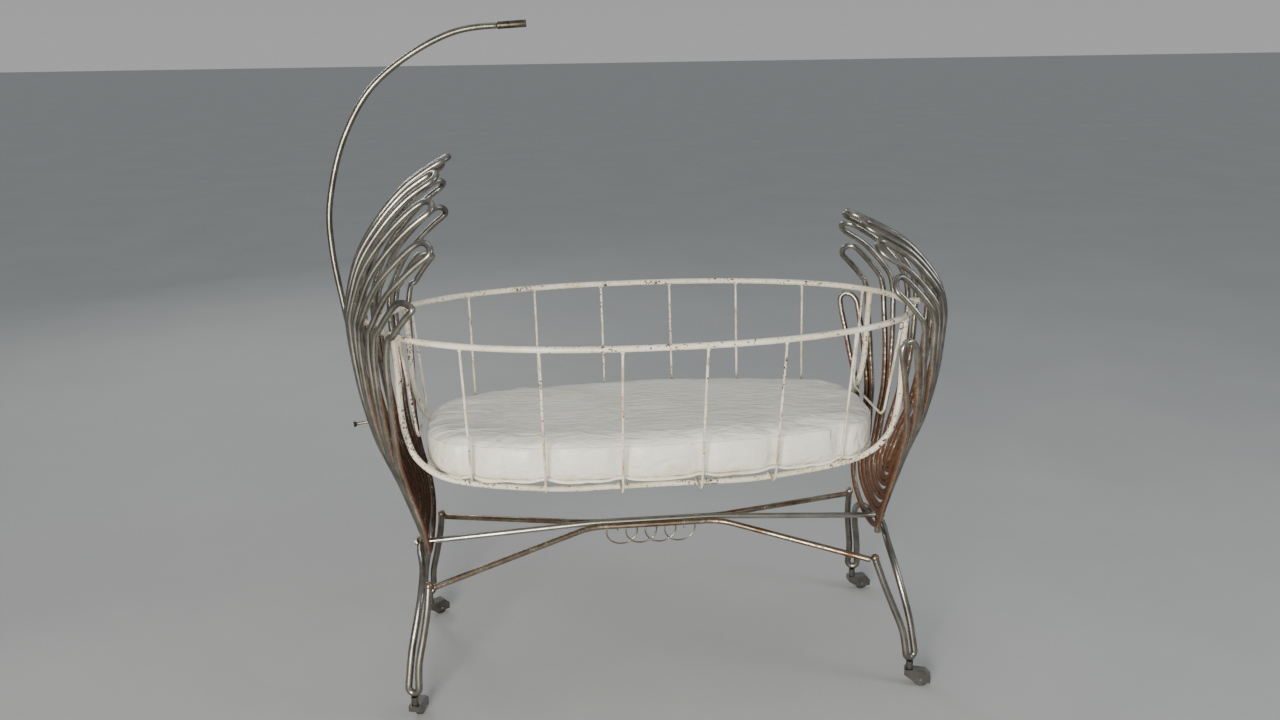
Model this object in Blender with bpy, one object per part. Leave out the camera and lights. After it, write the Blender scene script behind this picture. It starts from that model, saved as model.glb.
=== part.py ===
"""Vintage swinging cradle: a chromed tube stand with two petal fans, an enamelled
wire basket hung on two pivot pins, a canopy rod, stretchers, legs and casters.

Metres, +Z up, standing on z = 0, centred on the Z axis. X runs along the cradle,
head end (canopy rod) at -X, foot end at +X. Fronts are at -Y, rears at +Y.
"""
import math

import bmesh
import bpy
from mathutils import Matrix, Vector

# ---------------------------------------------------------------- driving sizes
GAP = 0.0003                 # gap kept between pieces that touch

RIM_H = 0.637                # basket rim and swing axis above the floor
BASKET_X = -0.0065           # the basket hangs a little nearer the head end
RIM_HALF_L = 0.443           # rim oval, centre line
RIM_HALF_W = 0.2205
RIM_POWER = 2.2              # squareness of the rim oval
RIM_TUBE = 0.010
RAIL_TUBE = 0.010            # two long rails under the basket
RAIL_Y = 0.112               # their distance from the middle plane
RAIL_DEPTH = 0.264           # rim to the rails' centre line
RAIL_IN = 0.033225           # rails' ends stand in from the rim's ends
RIB_WIRE = 0.0042
RIB_FIRST = 0.064            # first rib from the middle
RIB_LAST = RIM_HALF_L - 0.138        # last full rib; the second stands between
RIB_X = (RIB_FIRST, (RIB_FIRST + RIB_LAST) / 2 + 0.0025, RIB_LAST)
RIB_LEAN = 0.985             # rib feet stand slightly nearer the middle
RIB_CORNER = 0.022
END_RIB_X = RIM_HALF_L - 0.043       # the two short ribs stand in from the rim's ends
END_RIB_LOW_X = END_RIB_X - 0.016
END_RIB_HALF_W = 0.085       # half width of an end rib's floor
END_RIB_DEPTH = 0.175        # rim to the floor of the two short end ribs
BASE_HALF_L = RIM_HALF_L - 0.011     # floor outline of the basket
BASE_HALF_W = RIM_HALF_W - 0.0505
BASE_POWER = 2.3
MATTRESS_T = 0.067
MATTRESS_CLEAR = 0.0035      # mattress to ribs
MATTRESS_EDGE = 0.020        # rounding of the mattress edge

FAN_TUBE = 0.010
PIVOT_ROOM = 0.0510          # rim's end to the tubes of a fan, centre lines
FAN_REACH = RIM_HALF_L + PIVOT_ROOM  # tubes of a fan at rim height
FAN_FOOT_IN = 0.1015         # a fan's lowest bend stands in by this much
FAN_FOOT_X = FAN_REACH - FAN_FOOT_IN
HEAD_RISE = 0.264            # top of the head fan above the rim
FOOT_RISE = 0.159
SIDE_PETALS = 4              # petals on each side of the middle one
BEND_CLEAR = 0.0045          # stretcher end to the nested bend above it
HEAD_CURL = 0.240            # lateral radius of the head fan
FOOT_CURL = 0.185
HEAD_TIP_R = 0.0155          # widest half width of a petal, centre line
FOOT_TIP_R = 0.0165

SOCKET_OD = 0.0125
SOCKET_BORE = 0.0100
SOCKET_L = 0.150
SOCKET_DROP = 0.110          # socket middle below the rim
ROD_D = 0.0095
ROD_LEAN = math.radians(8.5)
ROD_ENTRY = 0.022            # height above the rim where the rod starts to bend
ROD_REACH = FAN_REACH + 0.0075       # the rod's distance from the middle there
ROD_RISE = 0.440             # top of the rod above that place
ROD_CROOK = 0.312            # how far it comes back over the basket
FERRULE_L = 0.045
FERRULE_D = 0.0112
SCREW_D = 0.0050
SCREW_L = 0.026

PIN_D = 0.0050
PIN_CLEAR = 0.0004
COLLAR_T = 0.0032
BUSH_OD = 0.0110
BUSH_L = 0.018
PLATE_T = 0.0030
PLATE_H = 0.026

LEG_TUBE = 0.012
LEG_BEND = 0.0095            # radius of the hairpin bend, centre line
LEG_SPREAD = 0.169           # hairpin bends from the middle plane
LEG_REACH = FAN_FOOT_X + 0.0265      # and from the middle of the cradle
LEG_FOOT_H = 0.051           # hairpin bend centre line above the floor
RETURN_IN = {"head_front": 0.001, "head_rear": 0.004,      # each leg's top, bent
             "foot_front": 0.029, "foot_rear": -0.010}     # inwards by hand
STEM_D = 0.0120
STEM_UP = 0.0080             # stem above and below the stretcher end
STEM_DOWN = 0.0340
STRETCHER = 0.010
STRETCHER_H = 0.2405         # stretcher ends above the floor
MID_RISE = 0.0165            # stretchers rise in the middle third
SCROLL_WIRE = 0.0028
SCROLL_R = 0.0180
SCROLL_LOOPS = 4
SCROLL_PITCH = 0.0345

WHEEL_D = 0.027
WHEEL_W = 0.0120
AXLE_D = 0.0040
CASTER_TRAIL = 0.020
HOOD_CLEAR = 0.0012          # wheel to hood
HOOD_WALL = 0.0016
CASTER_PIN = 0.0060
SLEEVE_D = 0.0120
CASTER_TURN = {"head_front": 74.0, "head_rear": 34.0,
               "foot_front": -18.0, "foot_rear": 3.0}

CHROME = (0.42, 0.41, 0.36)
RUST = (0.23, 0.11, 0.05)
CREAM = (0.80, 0.77, 0.66)

# ---------------------------------------------------------------- scene
for old in list(bpy.data.objects):
    bpy.data.objects.remove(old, do_unlink=True)

parts = bpy.data.collections.new("swing_cradle")
cutters = bpy.data.collections.new("cutters")
bpy.context.scene.collection.children.link(parts)
bpy.context.scene.collection.children.link(cutters)


root = bpy.data.objects.new("cradle", None)
root.empty_display_size = 0.1
parts.objects.link(root)


def finish(obj, colour, rough, metal):
    """Give the object its own material and put it in the part."""
    obj.parent = root
    mat = bpy.data.materials.new(obj.name)
    mat.use_nodes = True
    bsdf = mat.node_tree.nodes["Principled BSDF"]
    bsdf.inputs["Base Color"].default_value = (*colour, 1.0)
    bsdf.inputs["Roughness"].default_value = rough
    bsdf.inputs["Metallic"].default_value = metal
    mat.diffuse_color = (*colour, 1.0)
    obj.data.materials.append(mat)
    parts.objects.link(obj)
    return obj


def empty(name, place, parent=None, turn=0.0):
    """An axis marker that a moving piece hangs on."""
    mark = bpy.data.objects.new(name, None)
    mark.empty_display_size = 0.03
    mark.location = place
    mark.rotation_euler = (0.0, 0.0, turn)
    mark.parent = parent or root
    parts.objects.link(mark)
    return mark


def place_on(obj, parent, offset):
    """Hang obj on an empty: its own vertices are already about that empty."""
    obj.parent = parent
    obj.location = offset
    return obj


def tube(name, points, radius, sides=2, closed=False):
    """A round tube or wire along a polyline, with filled caps."""
    curve = bpy.data.curves.new(name, "CURVE")
    curve.dimensions = "3D"
    curve.bevel_depth = radius
    curve.bevel_resolution = sides
    curve.use_fill_caps = True
    line = curve.splines.new("POLY")
    line.points.add(len(points) - 1)
    for knot, point in zip(line.points, points):
        knot.co = (*point, 1.0)
    line.use_cyclic_u = closed
    line.use_smooth = True
    return bpy.data.objects.new(name, curve)


def mesh_of(name, bm):
    """An object with the bmesh's faces, pointing out."""
    bmesh.ops.recalc_face_normals(bm, faces=bm.faces)
    data = bpy.data.meshes.new(name)
    bm.to_mesh(data)
    bm.free()
    data.shade_smooth()
    data.set_sharp_from_angle(angle=math.radians(35.0))
    return bpy.data.objects.new(name, data)


def rod_along(bm, start, end, radius, segments=20, top=None):
    """Add a closed cylinder or cone from start to end."""
    start, end = Vector(start), Vector(end)
    axis = end - start
    turn = Vector((0, 0, 1)).rotation_difference(axis).to_matrix().to_4x4()
    where = Matrix.Translation((start + end) / 2) @ turn
    bmesh.ops.create_cone(bm, cap_ends=True, segments=segments, radius1=radius,
                          radius2=radius if top is None else top,
                          depth=axis.length, matrix=where)


def solid_from(name, *adders):
    """A closed mesh object from one or more functions that fill a bmesh."""
    bm = bmesh.new()
    for add in adders:
        add(bm)
    return mesh_of(name, bm)


def combine(obj, other, operation):
    """Join or cut obj with another object, exactly, and drop the other."""
    for item in (obj, other):
        if not item.users_collection:
            cutters.objects.link(item)
    change = obj.modifiers.new("cut", "BOOLEAN")
    change.object = other
    change.operation = operation
    change.solver = "EXACT"
    graph = bpy.context.evaluated_depsgraph_get()
    graph.update()
    data = bpy.data.meshes.new_from_object(obj.evaluated_get(graph))
    data.name = obj.name
    obj.modifiers.clear()
    obj.data = data
    for item in (obj, other):
        if item.name in cutters.objects:
            cutters.objects.unlink(item)
    bpy.data.objects.remove(other, do_unlink=True)
    data.shade_smooth()
    data.set_sharp_from_angle(angle=math.radians(35.0))
    return obj


def spline(knots, count):
    """Points of a smooth curve through the knots, evenly spaced along it."""
    knots = [Vector(k) for k in knots]
    first = knots[0] * 2 - knots[1]
    last = knots[-1] * 2 - knots[-2]
    run = [first, *knots, last]
    fine = []
    for i in range(1, len(run) - 2):
        a, b, c, d = run[i - 1:i + 3]
        for k in range(24):
            t = k / 24
            fine.append(0.5 * (2 * b + (c - a) * t + (2 * a - 5 * b + 4 * c - d) * t * t
                               + (3 * b - a - 3 * c + d) * t ** 3))
    fine.append(knots[-1])
    return even(fine, count)


def even(fine, count):
    """Resample a dense polyline into count points of equal spacing."""
    far = [0.0]
    for p, q in zip(fine, fine[1:]):
        far.append(far[-1] + (q - p).length)
    out = []
    j = 0
    for i in range(count):
        want = far[-1] * i / (count - 1)
        while j < len(fine) - 2 and far[j + 1] < want:
            j += 1
        step = far[j + 1] - far[j]
        t = 0.0 if step < 1e-12 else (want - far[j]) / step
        out.append(fine[j].lerp(fine[j + 1], min(max(t, 0.0), 1.0)))
    return out


def rounded(corners, radius, count):
    """Points along a polyline whose corners are rounded with one radius."""
    corners = [Vector(c) for c in corners]
    fine = [corners[0]]
    for before, at, after in zip(corners, corners[1:], corners[2:]):
        go_in = (before - at).normalized()
        go_out = (after - at).normalized()
        half = go_in.angle(go_out) / 2
        cut = radius / math.tan(half)
        middle = at + (go_in + go_out).normalized() * (radius / math.sin(half))
        start = at + go_in * cut
        stop = at + go_out * cut
        a = start - middle
        b = stop - middle
        for k in range(count + 1):
            t = k / count
            mix = a.lerp(b, t)
            fine.append(middle + mix.normalized() * radius)
    fine.append(corners[-1])
    return fine


def outline(x, half_l, half_w, power):
    """Half width at x of an oval of the given squareness."""
    return half_w * max(0.0, 1.0 - abs(x / half_l) ** power) ** (1.0 / power)


# ---------------------------------------------------------------- fans
PITCH = FAN_TUBE + GAP       # neighbouring tubes that run side by side
INNER_LOW = STRETCHER_H + (STRETCHER + FAN_TUBE) / 2 + BEND_CLEAR
OUTER_LOW = STRETCHER_H - (STRETCHER + FAN_TUBE) / 2 - GAP - 0.001


def blend(knots, at):
    """Value at `at` of a smooth curve through (place, value) knots."""
    if at <= knots[0][0]:
        return knots[0][1]
    for (a, left), (b, right) in zip(knots, knots[1:]):
        if at <= b:
            t = (at - a) / (b - a)
            return left + (right - left) * t
    return knots[-1][1]


class Fan:
    """The sheet that a fan's tubes lie on, and the tubes drawn on it.

    A point of the flat pattern has u across and s up along the back line. The back
    line stands in the middle plane; the sheet curls towards the basket sideways.
    Nine petals stand side by side, each a tube that goes up and comes back down.
    The legs of a petal on one side run into the same legs of its mirror petal
    through nested bends at the foot of the fan.
    """

    def __init__(self, side, rise, back, curl, tip_r, spread, tips):
        self.side = side
        self.curl = curl
        self.tip_r = tip_r
        self.spread = spread
        self.tips = tips
        low = RIM_H - OUTER_LOW
        knots = []
        for out, up in back:
            z = RIM_H + (up * rise if up > 0 else up * low)
            knots.append((FAN_FOOT_X + (FAN_REACH - FAN_FOOT_X) * out, 0.0, z))
        self.line = spline(knots, 400)
        self.step = (self.line[1] - self.line[0]).length
        self.length = self.step * 399
        under = [i for i in range(400) if self.line[i].z <= RIM_H]
        self.rim_s = under[-1] * self.step
        inner = min(range(400), key=lambda i: abs(self.line[i].z - INNER_LOW))
        self.u_s = inner * self.step
        for _ in range(12):
            self.u_s = inner * self.step + self.leg(2 * SIDE_PETALS, self.u_s)

    def width(self, s):
        """Distance between the middles of neighbouring petals at s."""
        near = [blend(self.spread, (s + d) / self.length) for d in (-0.015, 0.0, 0.015)]
        return max(sum(near) / 3, 2.15 * PITCH)

    def leg(self, number, s):
        """Flat-pattern distance of a leg from the middle; legs count outwards."""
        step = self.width(s)
        growth = (self.width(s + 0.01) - self.width(s - 0.01)) / 0.02
        way = 1 if number % 2 else -1
        border = number // 2 + way / 2
        apart = max(PITCH * math.hypot(1.0, border * growth), step - 2 * self.tip_r)
        return border * step - way * apart / 2

    def back(self, s):
        """Point and unit direction of the back line at s, straight beyond its ends."""
        i = s / self.step
        if i <= 0:
            way = (self.line[1] - self.line[0]).normalized()
            return self.line[0] + way * s, way
        if i >= 398:
            way = (self.line[399] - self.line[398]).normalized()
            return self.line[399] + way * (s - self.length), way
        k = int(i)
        a = self.line[k].lerp(self.line[k + 1], i - k)
        span = self.line[min(k + 6, 399)] - self.line[max(k - 5, 0)]
        return a, span.normalized()

    def back_x(self, z):
        """Distance of the back line from the middle at height z, below the rim."""
        return min(self.line[:int(self.rim_s / self.step) + 2],
                   key=lambda p: abs(p.z - z)).x

    def point(self, u, s):
        """Where a flat-pattern point lies in space."""
        at, way = self.back(s)
        inward = Vector((-way.z, 0.0, way.x))
        swing = u / self.curl
        place = at + inward * (self.curl * (1 - math.cos(swing)))
        return Vector((self.side * place.x, self.curl * math.sin(swing), place.z))

    def petal(self, number):
        """Flat-pattern lines of one petal: up its inner leg, over, down its outer."""
        high = self.tips[number] * self.length
        top = high - min(self.width(high) / 2, self.tip_r) * TIP_TALL
        rows = [self.u_s]
        s = self.u_s + ROW * 0.45
        while s < top - ROW * 0.4:
            rows.append(s)
            s += ROW
        rows.append(top)
        if number == 0:
            inner = [(-self.leg(1, s), s) for s in rows]
        else:
            inner = [(self.leg(2 * number, s), s) for s in rows]
        outer = [(self.leg(2 * number + 1, s), s) for s in rows]
        mid = (inner[-1][0] + outer[-1][0]) / 2
        reach = (outer[-1][0] - inner[-1][0]) / 2
        lean = (self.width(top) - self.width(top - 0.02)) / 0.02 * number
        over = []
        for k in range(1, TIP_STEPS):
            a = math.pi * (1 - k / TIP_STEPS)
            up = reach * TIP_TALL * math.sin(a)
            over.append((mid + reach * math.cos(a) + up * lean, top + up))
        return inner, over, outer

    def bend(self, number):
        """Half of the nested bend of one leg, from the middle plane outwards."""
        u = self.leg(number, self.u_s)
        turns = [math.pi / 2 * k / BEND_STEPS for k in range(BEND_STEPS)]
        stretch = 1.0
        if number == 2 * SIDE_PETALS + 1:
            stretch = self.u_s / u
        return [(u * math.sin(a), self.u_s - stretch * u * math.cos(a)) for a in turns]

    def closed_line(self, number):
        """The whole flat-pattern line of one closed tube."""
        inner, over, outer = self.petal(number)
        if number == 0:
            low = self.bend(1)
            return inner + over + outer[::-1] + low[::-1] + mirror(low[1:])
        half = self.bend(2 * number) + inner + over + outer[::-1]
        half += self.bend(2 * number + 1)[::-1]
        return half + mirror(half[1:-1])[::-1]

    def tube_points(self, number):
        return [self.point(u, s) for u, s in self.closed_line(number)]


def mirror(flat):
    """The same flat-pattern points on the other side of the middle."""
    return [(-u, s) for u, s in flat]


ROW = 0.045                  # spacing of the points along a fan's legs
TIP_STEPS = 8
TIP_TALL = 1.15              # a petal's tip is a little taller than half round
BEND_STEPS = 5

# back lines: share of the way out from the fan's foot, share of the height
HEAD_BACK = ((0.00, -1.0), (0.18, -0.83), (0.43, -0.64), (0.71, -0.46), (0.89, -0.27),
             (0.98, -0.10), (1.01, 0.03), (0.99, 0.16), (0.78, 0.43), (0.42, 0.65),
             (0.02, 0.82), (-0.38, 0.93), (-0.72, 1.0))
FOOT_BACK = ((0.00, -1.0), (0.18, -0.83), (0.46, -0.62), (0.74, -0.45), (0.91, -0.26),
             (0.97, -0.10), (0.97, 0.04), (0.82, 0.32), (0.34, 0.67), (-0.16, 0.86),
             (-0.66, 1.0))

# spread of a fan: share of the back line's length, petal spacing there
HEAD_SPREAD = ((0.19, 0.0245), (0.23, 0.0290), (0.34, 0.0385), (0.45, 0.0430),
               (0.56, 0.0455), (0.71, 0.0572), (0.87, 0.0665), (1.00, 0.0700))
FOOT_SPREAD = ((0.20, 0.0245), (0.24, 0.0300), (0.36, 0.0405), (0.48, 0.0480),
               (0.60, 0.0530), (0.76, 0.0545), (0.88, 0.0540), (1.00, 0.0470))
HEAD_TIPS = (0.998, 0.968, 0.936, 0.873, 0.713)
FOOT_TIPS = (0.998, 0.975, 0.945, 0.882, 0.593)

head_fan = Fan(-1, HEAD_RISE, HEAD_BACK, HEAD_CURL, HEAD_TIP_R, HEAD_SPREAD, HEAD_TIPS)
foot_fan = Fan(1, FOOT_RISE, FOOT_BACK, FOOT_CURL, FOOT_TIP_R, FOOT_SPREAD, FOOT_TIPS)
for fan, label in ((head_fan, "head"), (foot_fan, "foot")):
    for number in range(SIDE_PETALS + 1):
        item = tube(f"{label}_petals_{number}", fan.tube_points(number), FAN_TUBE / 2, 1,
                    True)
        finish(item, CHROME, 0.35, 0.9)

# ---------------------------------------------------------------- basket
swing = empty("basket_swing", (BASKET_X, 0.0, RIM_H))
rim_points = []
RIM_STEPS = 40
for i in range(RIM_STEPS):
    a = 2 * math.pi * i / RIM_STEPS
    c, s = math.cos(a), math.sin(a)
    rim_points.append(Vector((math.copysign(abs(c) ** (2 / RIM_POWER), c) * RIM_HALF_L,
                              math.copysign(abs(s) ** (2 / RIM_POWER), s) * RIM_HALF_W, 0)))
rim = finish(tube("basket_rim", rim_points, RIM_TUBE / 2, 2, True), CREAM, 0.45, 0.0)
place_on(rim, swing, (0, 0, 0))

# rails: down from the rim near each end, round a wide bend and along the bottom
join_x = RIM_HALF_L - RAIL_IN
join_y = outline(join_x, RIM_HALF_L, RIM_HALF_W, RIM_POWER)
rail_start = RIM_TUBE / 2 + RAIL_TUBE * 0.12 + GAP
rail_half = [(join_x, join_y, -rail_start), (join_x - 0.002, join_y, -0.20 * RAIL_DEPTH),
             (join_x - 0.003, join_y + 0.003, -0.45 * RAIL_DEPTH),
             (join_x - 0.009, join_y + 0.006, -0.62 * RAIL_DEPTH),
             (join_x - 0.023, join_y + 0.010, -0.76 * RAIL_DEPTH),
             (join_x - 0.058, RAIL_Y - 0.004, -0.875 * RAIL_DEPTH),
             (join_x - 0.120, RAIL_Y - 0.001, -0.940 * RAIL_DEPTH),
             (join_x - 0.245, RAIL_Y, -0.996 * RAIL_DEPTH), (0.08, RAIL_Y, -RAIL_DEPTH),
             (0.0, RAIL_Y, -RAIL_DEPTH)]
rail_fine = spline(rail_half, 200)


def rail_depth(x):
    """Depth of the rails' centre line under the rim at x, on their lower run."""
    low = [p for p in rail_fine if p.z < -0.8 * RAIL_DEPTH]
    return -min(low, key=lambda p: abs(p.x - abs(x))).z


for label, sign in (("front", -1), ("rear", 1)):
    knots = [Vector((k[0], sign * k[1], k[2])) for k in rail_half]
    knots += [Vector((-k[0], sign * k[1], k[2])) for k in rail_half[-2::-1]]
    rail = tube(f"basket_rail_{label}", spline(knots, 40), RAIL_TUBE / 2, 2)
    finish(rail, CREAM, 0.45, 0.0)
    place_on(rail, swing, (0, 0, 0))

# ribs: U-shaped wires from rim to rim, standing on the rails
rib_lift = RIB_WIRE / 2 + RAIL_TUBE / 2 + GAP
ribs = [(-x, -x * RIB_LEAN) for x in RIB_X[::-1]] + [(x, x * RIB_LEAN) for x in RIB_X]
ribs = [(-END_RIB_X, -END_RIB_LOW_X)] + ribs + [(END_RIB_X, END_RIB_LOW_X)]
for index, (x, low_x) in enumerate(ribs):
    top_w = outline(x, RIM_HALF_L, RIM_HALF_W, RIM_POWER)
    low_w = outline(low_x, BASE_HALF_L, BASE_HALF_W, BASE_POWER)
    depth = rail_depth(low_x) - rib_lift - 0.0006
    if abs(x) == END_RIB_X:
        low_w = END_RIB_HALF_W
        depth = END_RIB_DEPTH
    start = -(RIM_TUBE / 2 + RIB_WIRE * 0.12 + GAP)
    corners = [(x, -top_w, start), (low_x, -low_w, -depth),
               (low_x, low_w, -depth), (x, top_w, start)]
    rib = tube(f"basket_rib_{index + 1}", rounded(corners, RIB_CORNER, 5), RIB_WIRE / 2, 1)
    finish(rib, CREAM, 0.5, 0.0)
    place_on(rib, swing, (0, 0, 0))

# mattress: an oval slab with rounded edges, lying on the ribs
mattress_low = rib_lift + 0.0006 + RIB_WIRE / 2 + GAP - rail_depth(RIB_X[-1] * RIB_LEAN)
mattress_half_l = END_RIB_LOW_X - RIB_WIRE / 2 - MATTRESS_CLEAR


def mattress_body(bm):
    ring = []
    steps = 32
    for i in range(steps):
        a = 2 * math.pi * (i + 0.5) / steps
        c, s = math.cos(a), math.sin(a)
        x = math.copysign(abs(c) ** 0.70, c) * mattress_half_l
        limit = outline(x, BASE_HALF_L, BASE_HALF_W, BASE_POWER) - RIB_WIRE / 2
        y = min(abs(s) ** 0.70 * BASE_HALF_W, limit - MATTRESS_CLEAR)
        ring.append(bm.verts.new((x, math.copysign(y, s), mattress_low)))
    face = bm.faces.new(ring)
    raised = bmesh.ops.extrude_face_region(bm, geom=[face])["geom"]
    top = [g for g in raised if isinstance(g, bmesh.types.BMVert)]
    bmesh.ops.translate(bm, verts=top, vec=(0, 0, MATTRESS_T))
    bmesh.ops.recalc_face_normals(bm, faces=bm.faces)
    edges = [e for e in bm.edges
             if abs(e.verts[0].co.z - e.verts[1].co.z) < 1e-6]
    bmesh.ops.bevel(bm, geom=edges, offset=MATTRESS_EDGE, segments=2, profile=0.5,
                    affect="EDGES")


mattress = solid_from("mattress", mattress_body)
finish(mattress, (0.82, 0.82, 0.78), 0.4, 0.0)
place_on(mattress, swing, (0, 0, 0))

# pivot: a bush on each end of the rim turns on a pin held by a plate on the fan
for label, side, fan in (("head", -1, head_fan), ("foot", 1, foot_fan)):
    bush_in = RIM_HALF_L + RIM_TUBE / 2 + GAP

    def bush_body(bm):
        rod_along(bm, (side * bush_in, 0, 0), (side * (bush_in + BUSH_L), 0, 0),
                  BUSH_OD / 2, 16)

    def bush_bore(bm):
        rod_along(bm, (side * (bush_in - 0.01), 0, 0),
                  (side * (bush_in + BUSH_L + 0.01), 0, 0), PIN_D / 2 + PIN_CLEAR, 16)

    bush = combine(solid_from(f"basket_bush_{label}", bush_body),
                   solid_from("bore", bush_bore), "DIFFERENCE")
    finish(bush, CREAM, 0.5, 0.0)
    place_on(bush, swing, (0, 0, 0))

    rim_end = side * BASKET_X + bush_in
    near = [fan.back(fan.rim_s + d * PLATE_H / 2)[0].x for d in (-1, 0, 1)]
    edge = fan.leg(1, fan.rim_s) + FAN_TUBE / 2
    bow = fan.curl * (1 - math.cos(edge / fan.curl))
    plate_out = min(near) - bow - FAN_TUBE / 2 - 3 * GAP
    drawn = fan.tube_points(0)
    for p, q in zip(drawn, drawn[1:]):
        for k in range(21):
            at = p.lerp(q, k / 20)
            if abs(at.z - RIM_H) < PLATE_H / 2:
                steep = abs((q - p).normalized().z)
                free = abs(at.x) - FAN_TUBE / 2 / max(steep, 0.2) - GAP
                plate_out = min(plate_out, free)
    plate_in = plate_out - PLATE_T
    plate_w = 2 * fan.leg(1, fan.rim_s) + FAN_TUBE * 0.9

    def plate_body(bm):
        bmesh.ops.create_cube(bm, size=1.0, matrix=Matrix.Translation(
            (side * (plate_out + plate_in) / 2, 0, RIM_H))
            @ Matrix.Diagonal((PLATE_T, plate_w, PLATE_H, 1)))
        edges = [e for e in bm.edges if abs(e.verts[0].co.x - e.verts[1].co.x) > 1e-5]
        bmesh.ops.bevel(bm, geom=edges, offset=0.005, segments=3, profile=0.5,
                        affect="EDGES")

    def plate_bore(bm):
        rod_along(bm, (side * (plate_in - 0.01), 0, RIM_H),
                  (side * (plate_out + 0.01), 0, RIM_H), PIN_D / 2 + GAP, 16)

    plate = combine(solid_from(f"pivot_plate_{label}", plate_body),
                    solid_from("bore", plate_bore), "DIFFERENCE")
    finish(plate, CHROME, 0.4, 0.9)

    def pin_body(bm):
        rod_along(bm, (side * (rim_end + 0.0015), 0, RIM_H),
                  (side * (plate_out + 0.0010), 0, RIM_H), PIN_D / 2, 16)

    def pin_collar(bm):
        face = plate_in - GAP
        rod_along(bm, (side * face, 0, RIM_H), (side * (face - COLLAR_T), 0, RIM_H),
                  PIN_D * 0.92, segments=6)

    pin = combine(solid_from(f"pivot_pin_{label}", pin_body),
                  solid_from("hex", pin_collar), "UNION")
    finish(pin, (0.6, 0.6, 0.58), 0.3, 1.0)

# ---------------------------------------------------------------- canopy rod
# the socket stands between the head fan's two middle legs, on the rod's own line
lean = Vector((-math.sin(ROD_LEAN), 0.0, math.cos(ROD_LEAN)))
rod_entry = Vector((-ROD_REACH, 0.0, RIM_H + ROD_ENTRY))
socket_mid = rod_entry - lean * ((ROD_ENTRY + SOCKET_DROP) / lean.z)
socket_low = socket_mid - lean * (SOCKET_L / 2)
socket_top = socket_mid + lean * (SOCKET_L / 2)
rod_foot = socket_low + lean * 0.006


def socket_body(bm):
    rod_along(bm, socket_low, socket_top, SOCKET_OD / 2, 18)


def socket_bore(bm):
    rod_along(bm, socket_low + lean * 0.004, socket_top + lean * 0.01, SOCKET_BORE / 2, 18)


screw_way = Vector((-math.cos(ROD_LEAN), 0.0, -math.sin(ROD_LEAN)))
screw_mid = socket_low + lean * 0.014


def screw_hole(bm):
    rod_along(bm, screw_mid, screw_mid + screw_way * 0.02, SCREW_D / 2 + PIN_CLEAR, 12)


socket = combine(solid_from("rod_socket", socket_body), solid_from("bore", socket_bore),
                 "DIFFERENCE")
socket = combine(socket, solid_from("tapping", screw_hole), "DIFFERENCE")
finish(socket, CHROME, 0.4, 0.9)

clamp = empty("clamp_turn", screw_mid)


def screw_shank(bm):
    start = screw_way * (ROD_D / 2 + GAP)
    rod_along(bm, start, start + screw_way * (SCREW_L - 0.003), SCREW_D / 2, 12)


def screw_head(bm):
    start = screw_way * (ROD_D / 2 + GAP + SCREW_L - 0.0045)
    rod_along(bm, start, start + screw_way * 0.0045, 0.0030, 16, 0.0052)


screw = combine(solid_from("rod_clamp_screw", screw_shank), solid_from("cap", screw_head),
                "UNION")
finish(screw, (0.3, 0.28, 0.26), 0.5, 0.9)
place_on(screw, clamp, (0, 0, 0))

# the rod: a straight shank in the socket, then a crook over the basket
slide = empty("canopy_slide", rod_foot)
shank = rod_entry - rod_foot
CROOK = ((-0.035, 0.225), (-0.022, 0.405), (0.080, 0.632), (0.272, 0.823),
         (0.625, 0.970), (1.0, 1.0))
knots = [Vector((0, 0, 0)), shank * 0.35, shank * 0.7, shank]
knots += [shank + Vector((x * ROD_CROOK, 0.0, z * ROD_RISE)) for x, z in CROOK]
whole = spline(knots, 400)
far = 0
run = 0.0
while run < FERRULE_L:
    far += 1
    run += (whole[-far] - whole[-far - 1]).length
rod_line = even(whole[:-far], 30)
tip = rod_line[-1]
tip_way = (whole[-1] - tip).normalized()
rod = tube("canopy_rod", rod_line, ROD_D / 2, 2)
finish(rod, CHROME, 0.3, 0.95)
place_on(rod, slide, (0, 0, 0))


def ferrule_body(bm):
    rod_along(bm, tip + tip_way * GAP, tip + tip_way * FERRULE_L, FERRULE_D / 2, 24)


ferrule = solid_from("rod_ferrule", ferrule_body)
finish(ferrule, (0.2, 0.19, 0.17), 0.5, 0.8)
place_on(ferrule, slide, (0, 0, 0))

# ---------------------------------------------------------------- stretchers
stem_top = STRETCHER_H + STEM_UP
stem_low = STRETCHER_H - STEM_DOWN
stem_x = {}
for label, fan in (("head", head_fan), ("foot", foot_fan)):
    slope = math.atan2(fan.back_x(stem_top + 0.01) - fan.back_x(stem_top - 0.01), 0.02)
    lift = (FAN_TUBE / 2 + GAP) / math.cos(slope) + STEM_D / 2
    stem_x[label] = fan.back_x(stem_top) + lift

reach = {label: x - STEM_D / 2 - GAP for label, x in stem_x.items()}
mid_h = STRETCHER_H + MID_RISE
centre_line = [(-reach["head"], 0, STRETCHER_H), (-0.11, 0, mid_h), (0.11, 0, mid_h),
               (reach["foot"], 0, STRETCHER_H)]
centre = tube("stretcher_centre", rounded(centre_line, 0.6, 4), STRETCHER / 2, 2)
finish(centre, (0.6, 0.6, 0.56), 0.25, 1.0)

# legs: a shoulder leaves the stem, turns down to a hairpin bend and comes back up
foot_h = LEG_FOOT_H + LEG_BEND
drop = STRETCHER_H - foot_h
DOWN = Vector((LEG_REACH + 0.0085, LEG_SPREAD - 0.003, foot_h))
BACK = Vector((LEG_REACH - 0.0085, LEG_SPREAD + 0.003, foot_h))
RETURN = ((-0.0020, -0.0075, 0.22), (-0.0110, -0.0165, 0.46),
          (-0.0190, -0.0235, 0.70), (-0.0235, -0.0325, 0.93))


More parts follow.
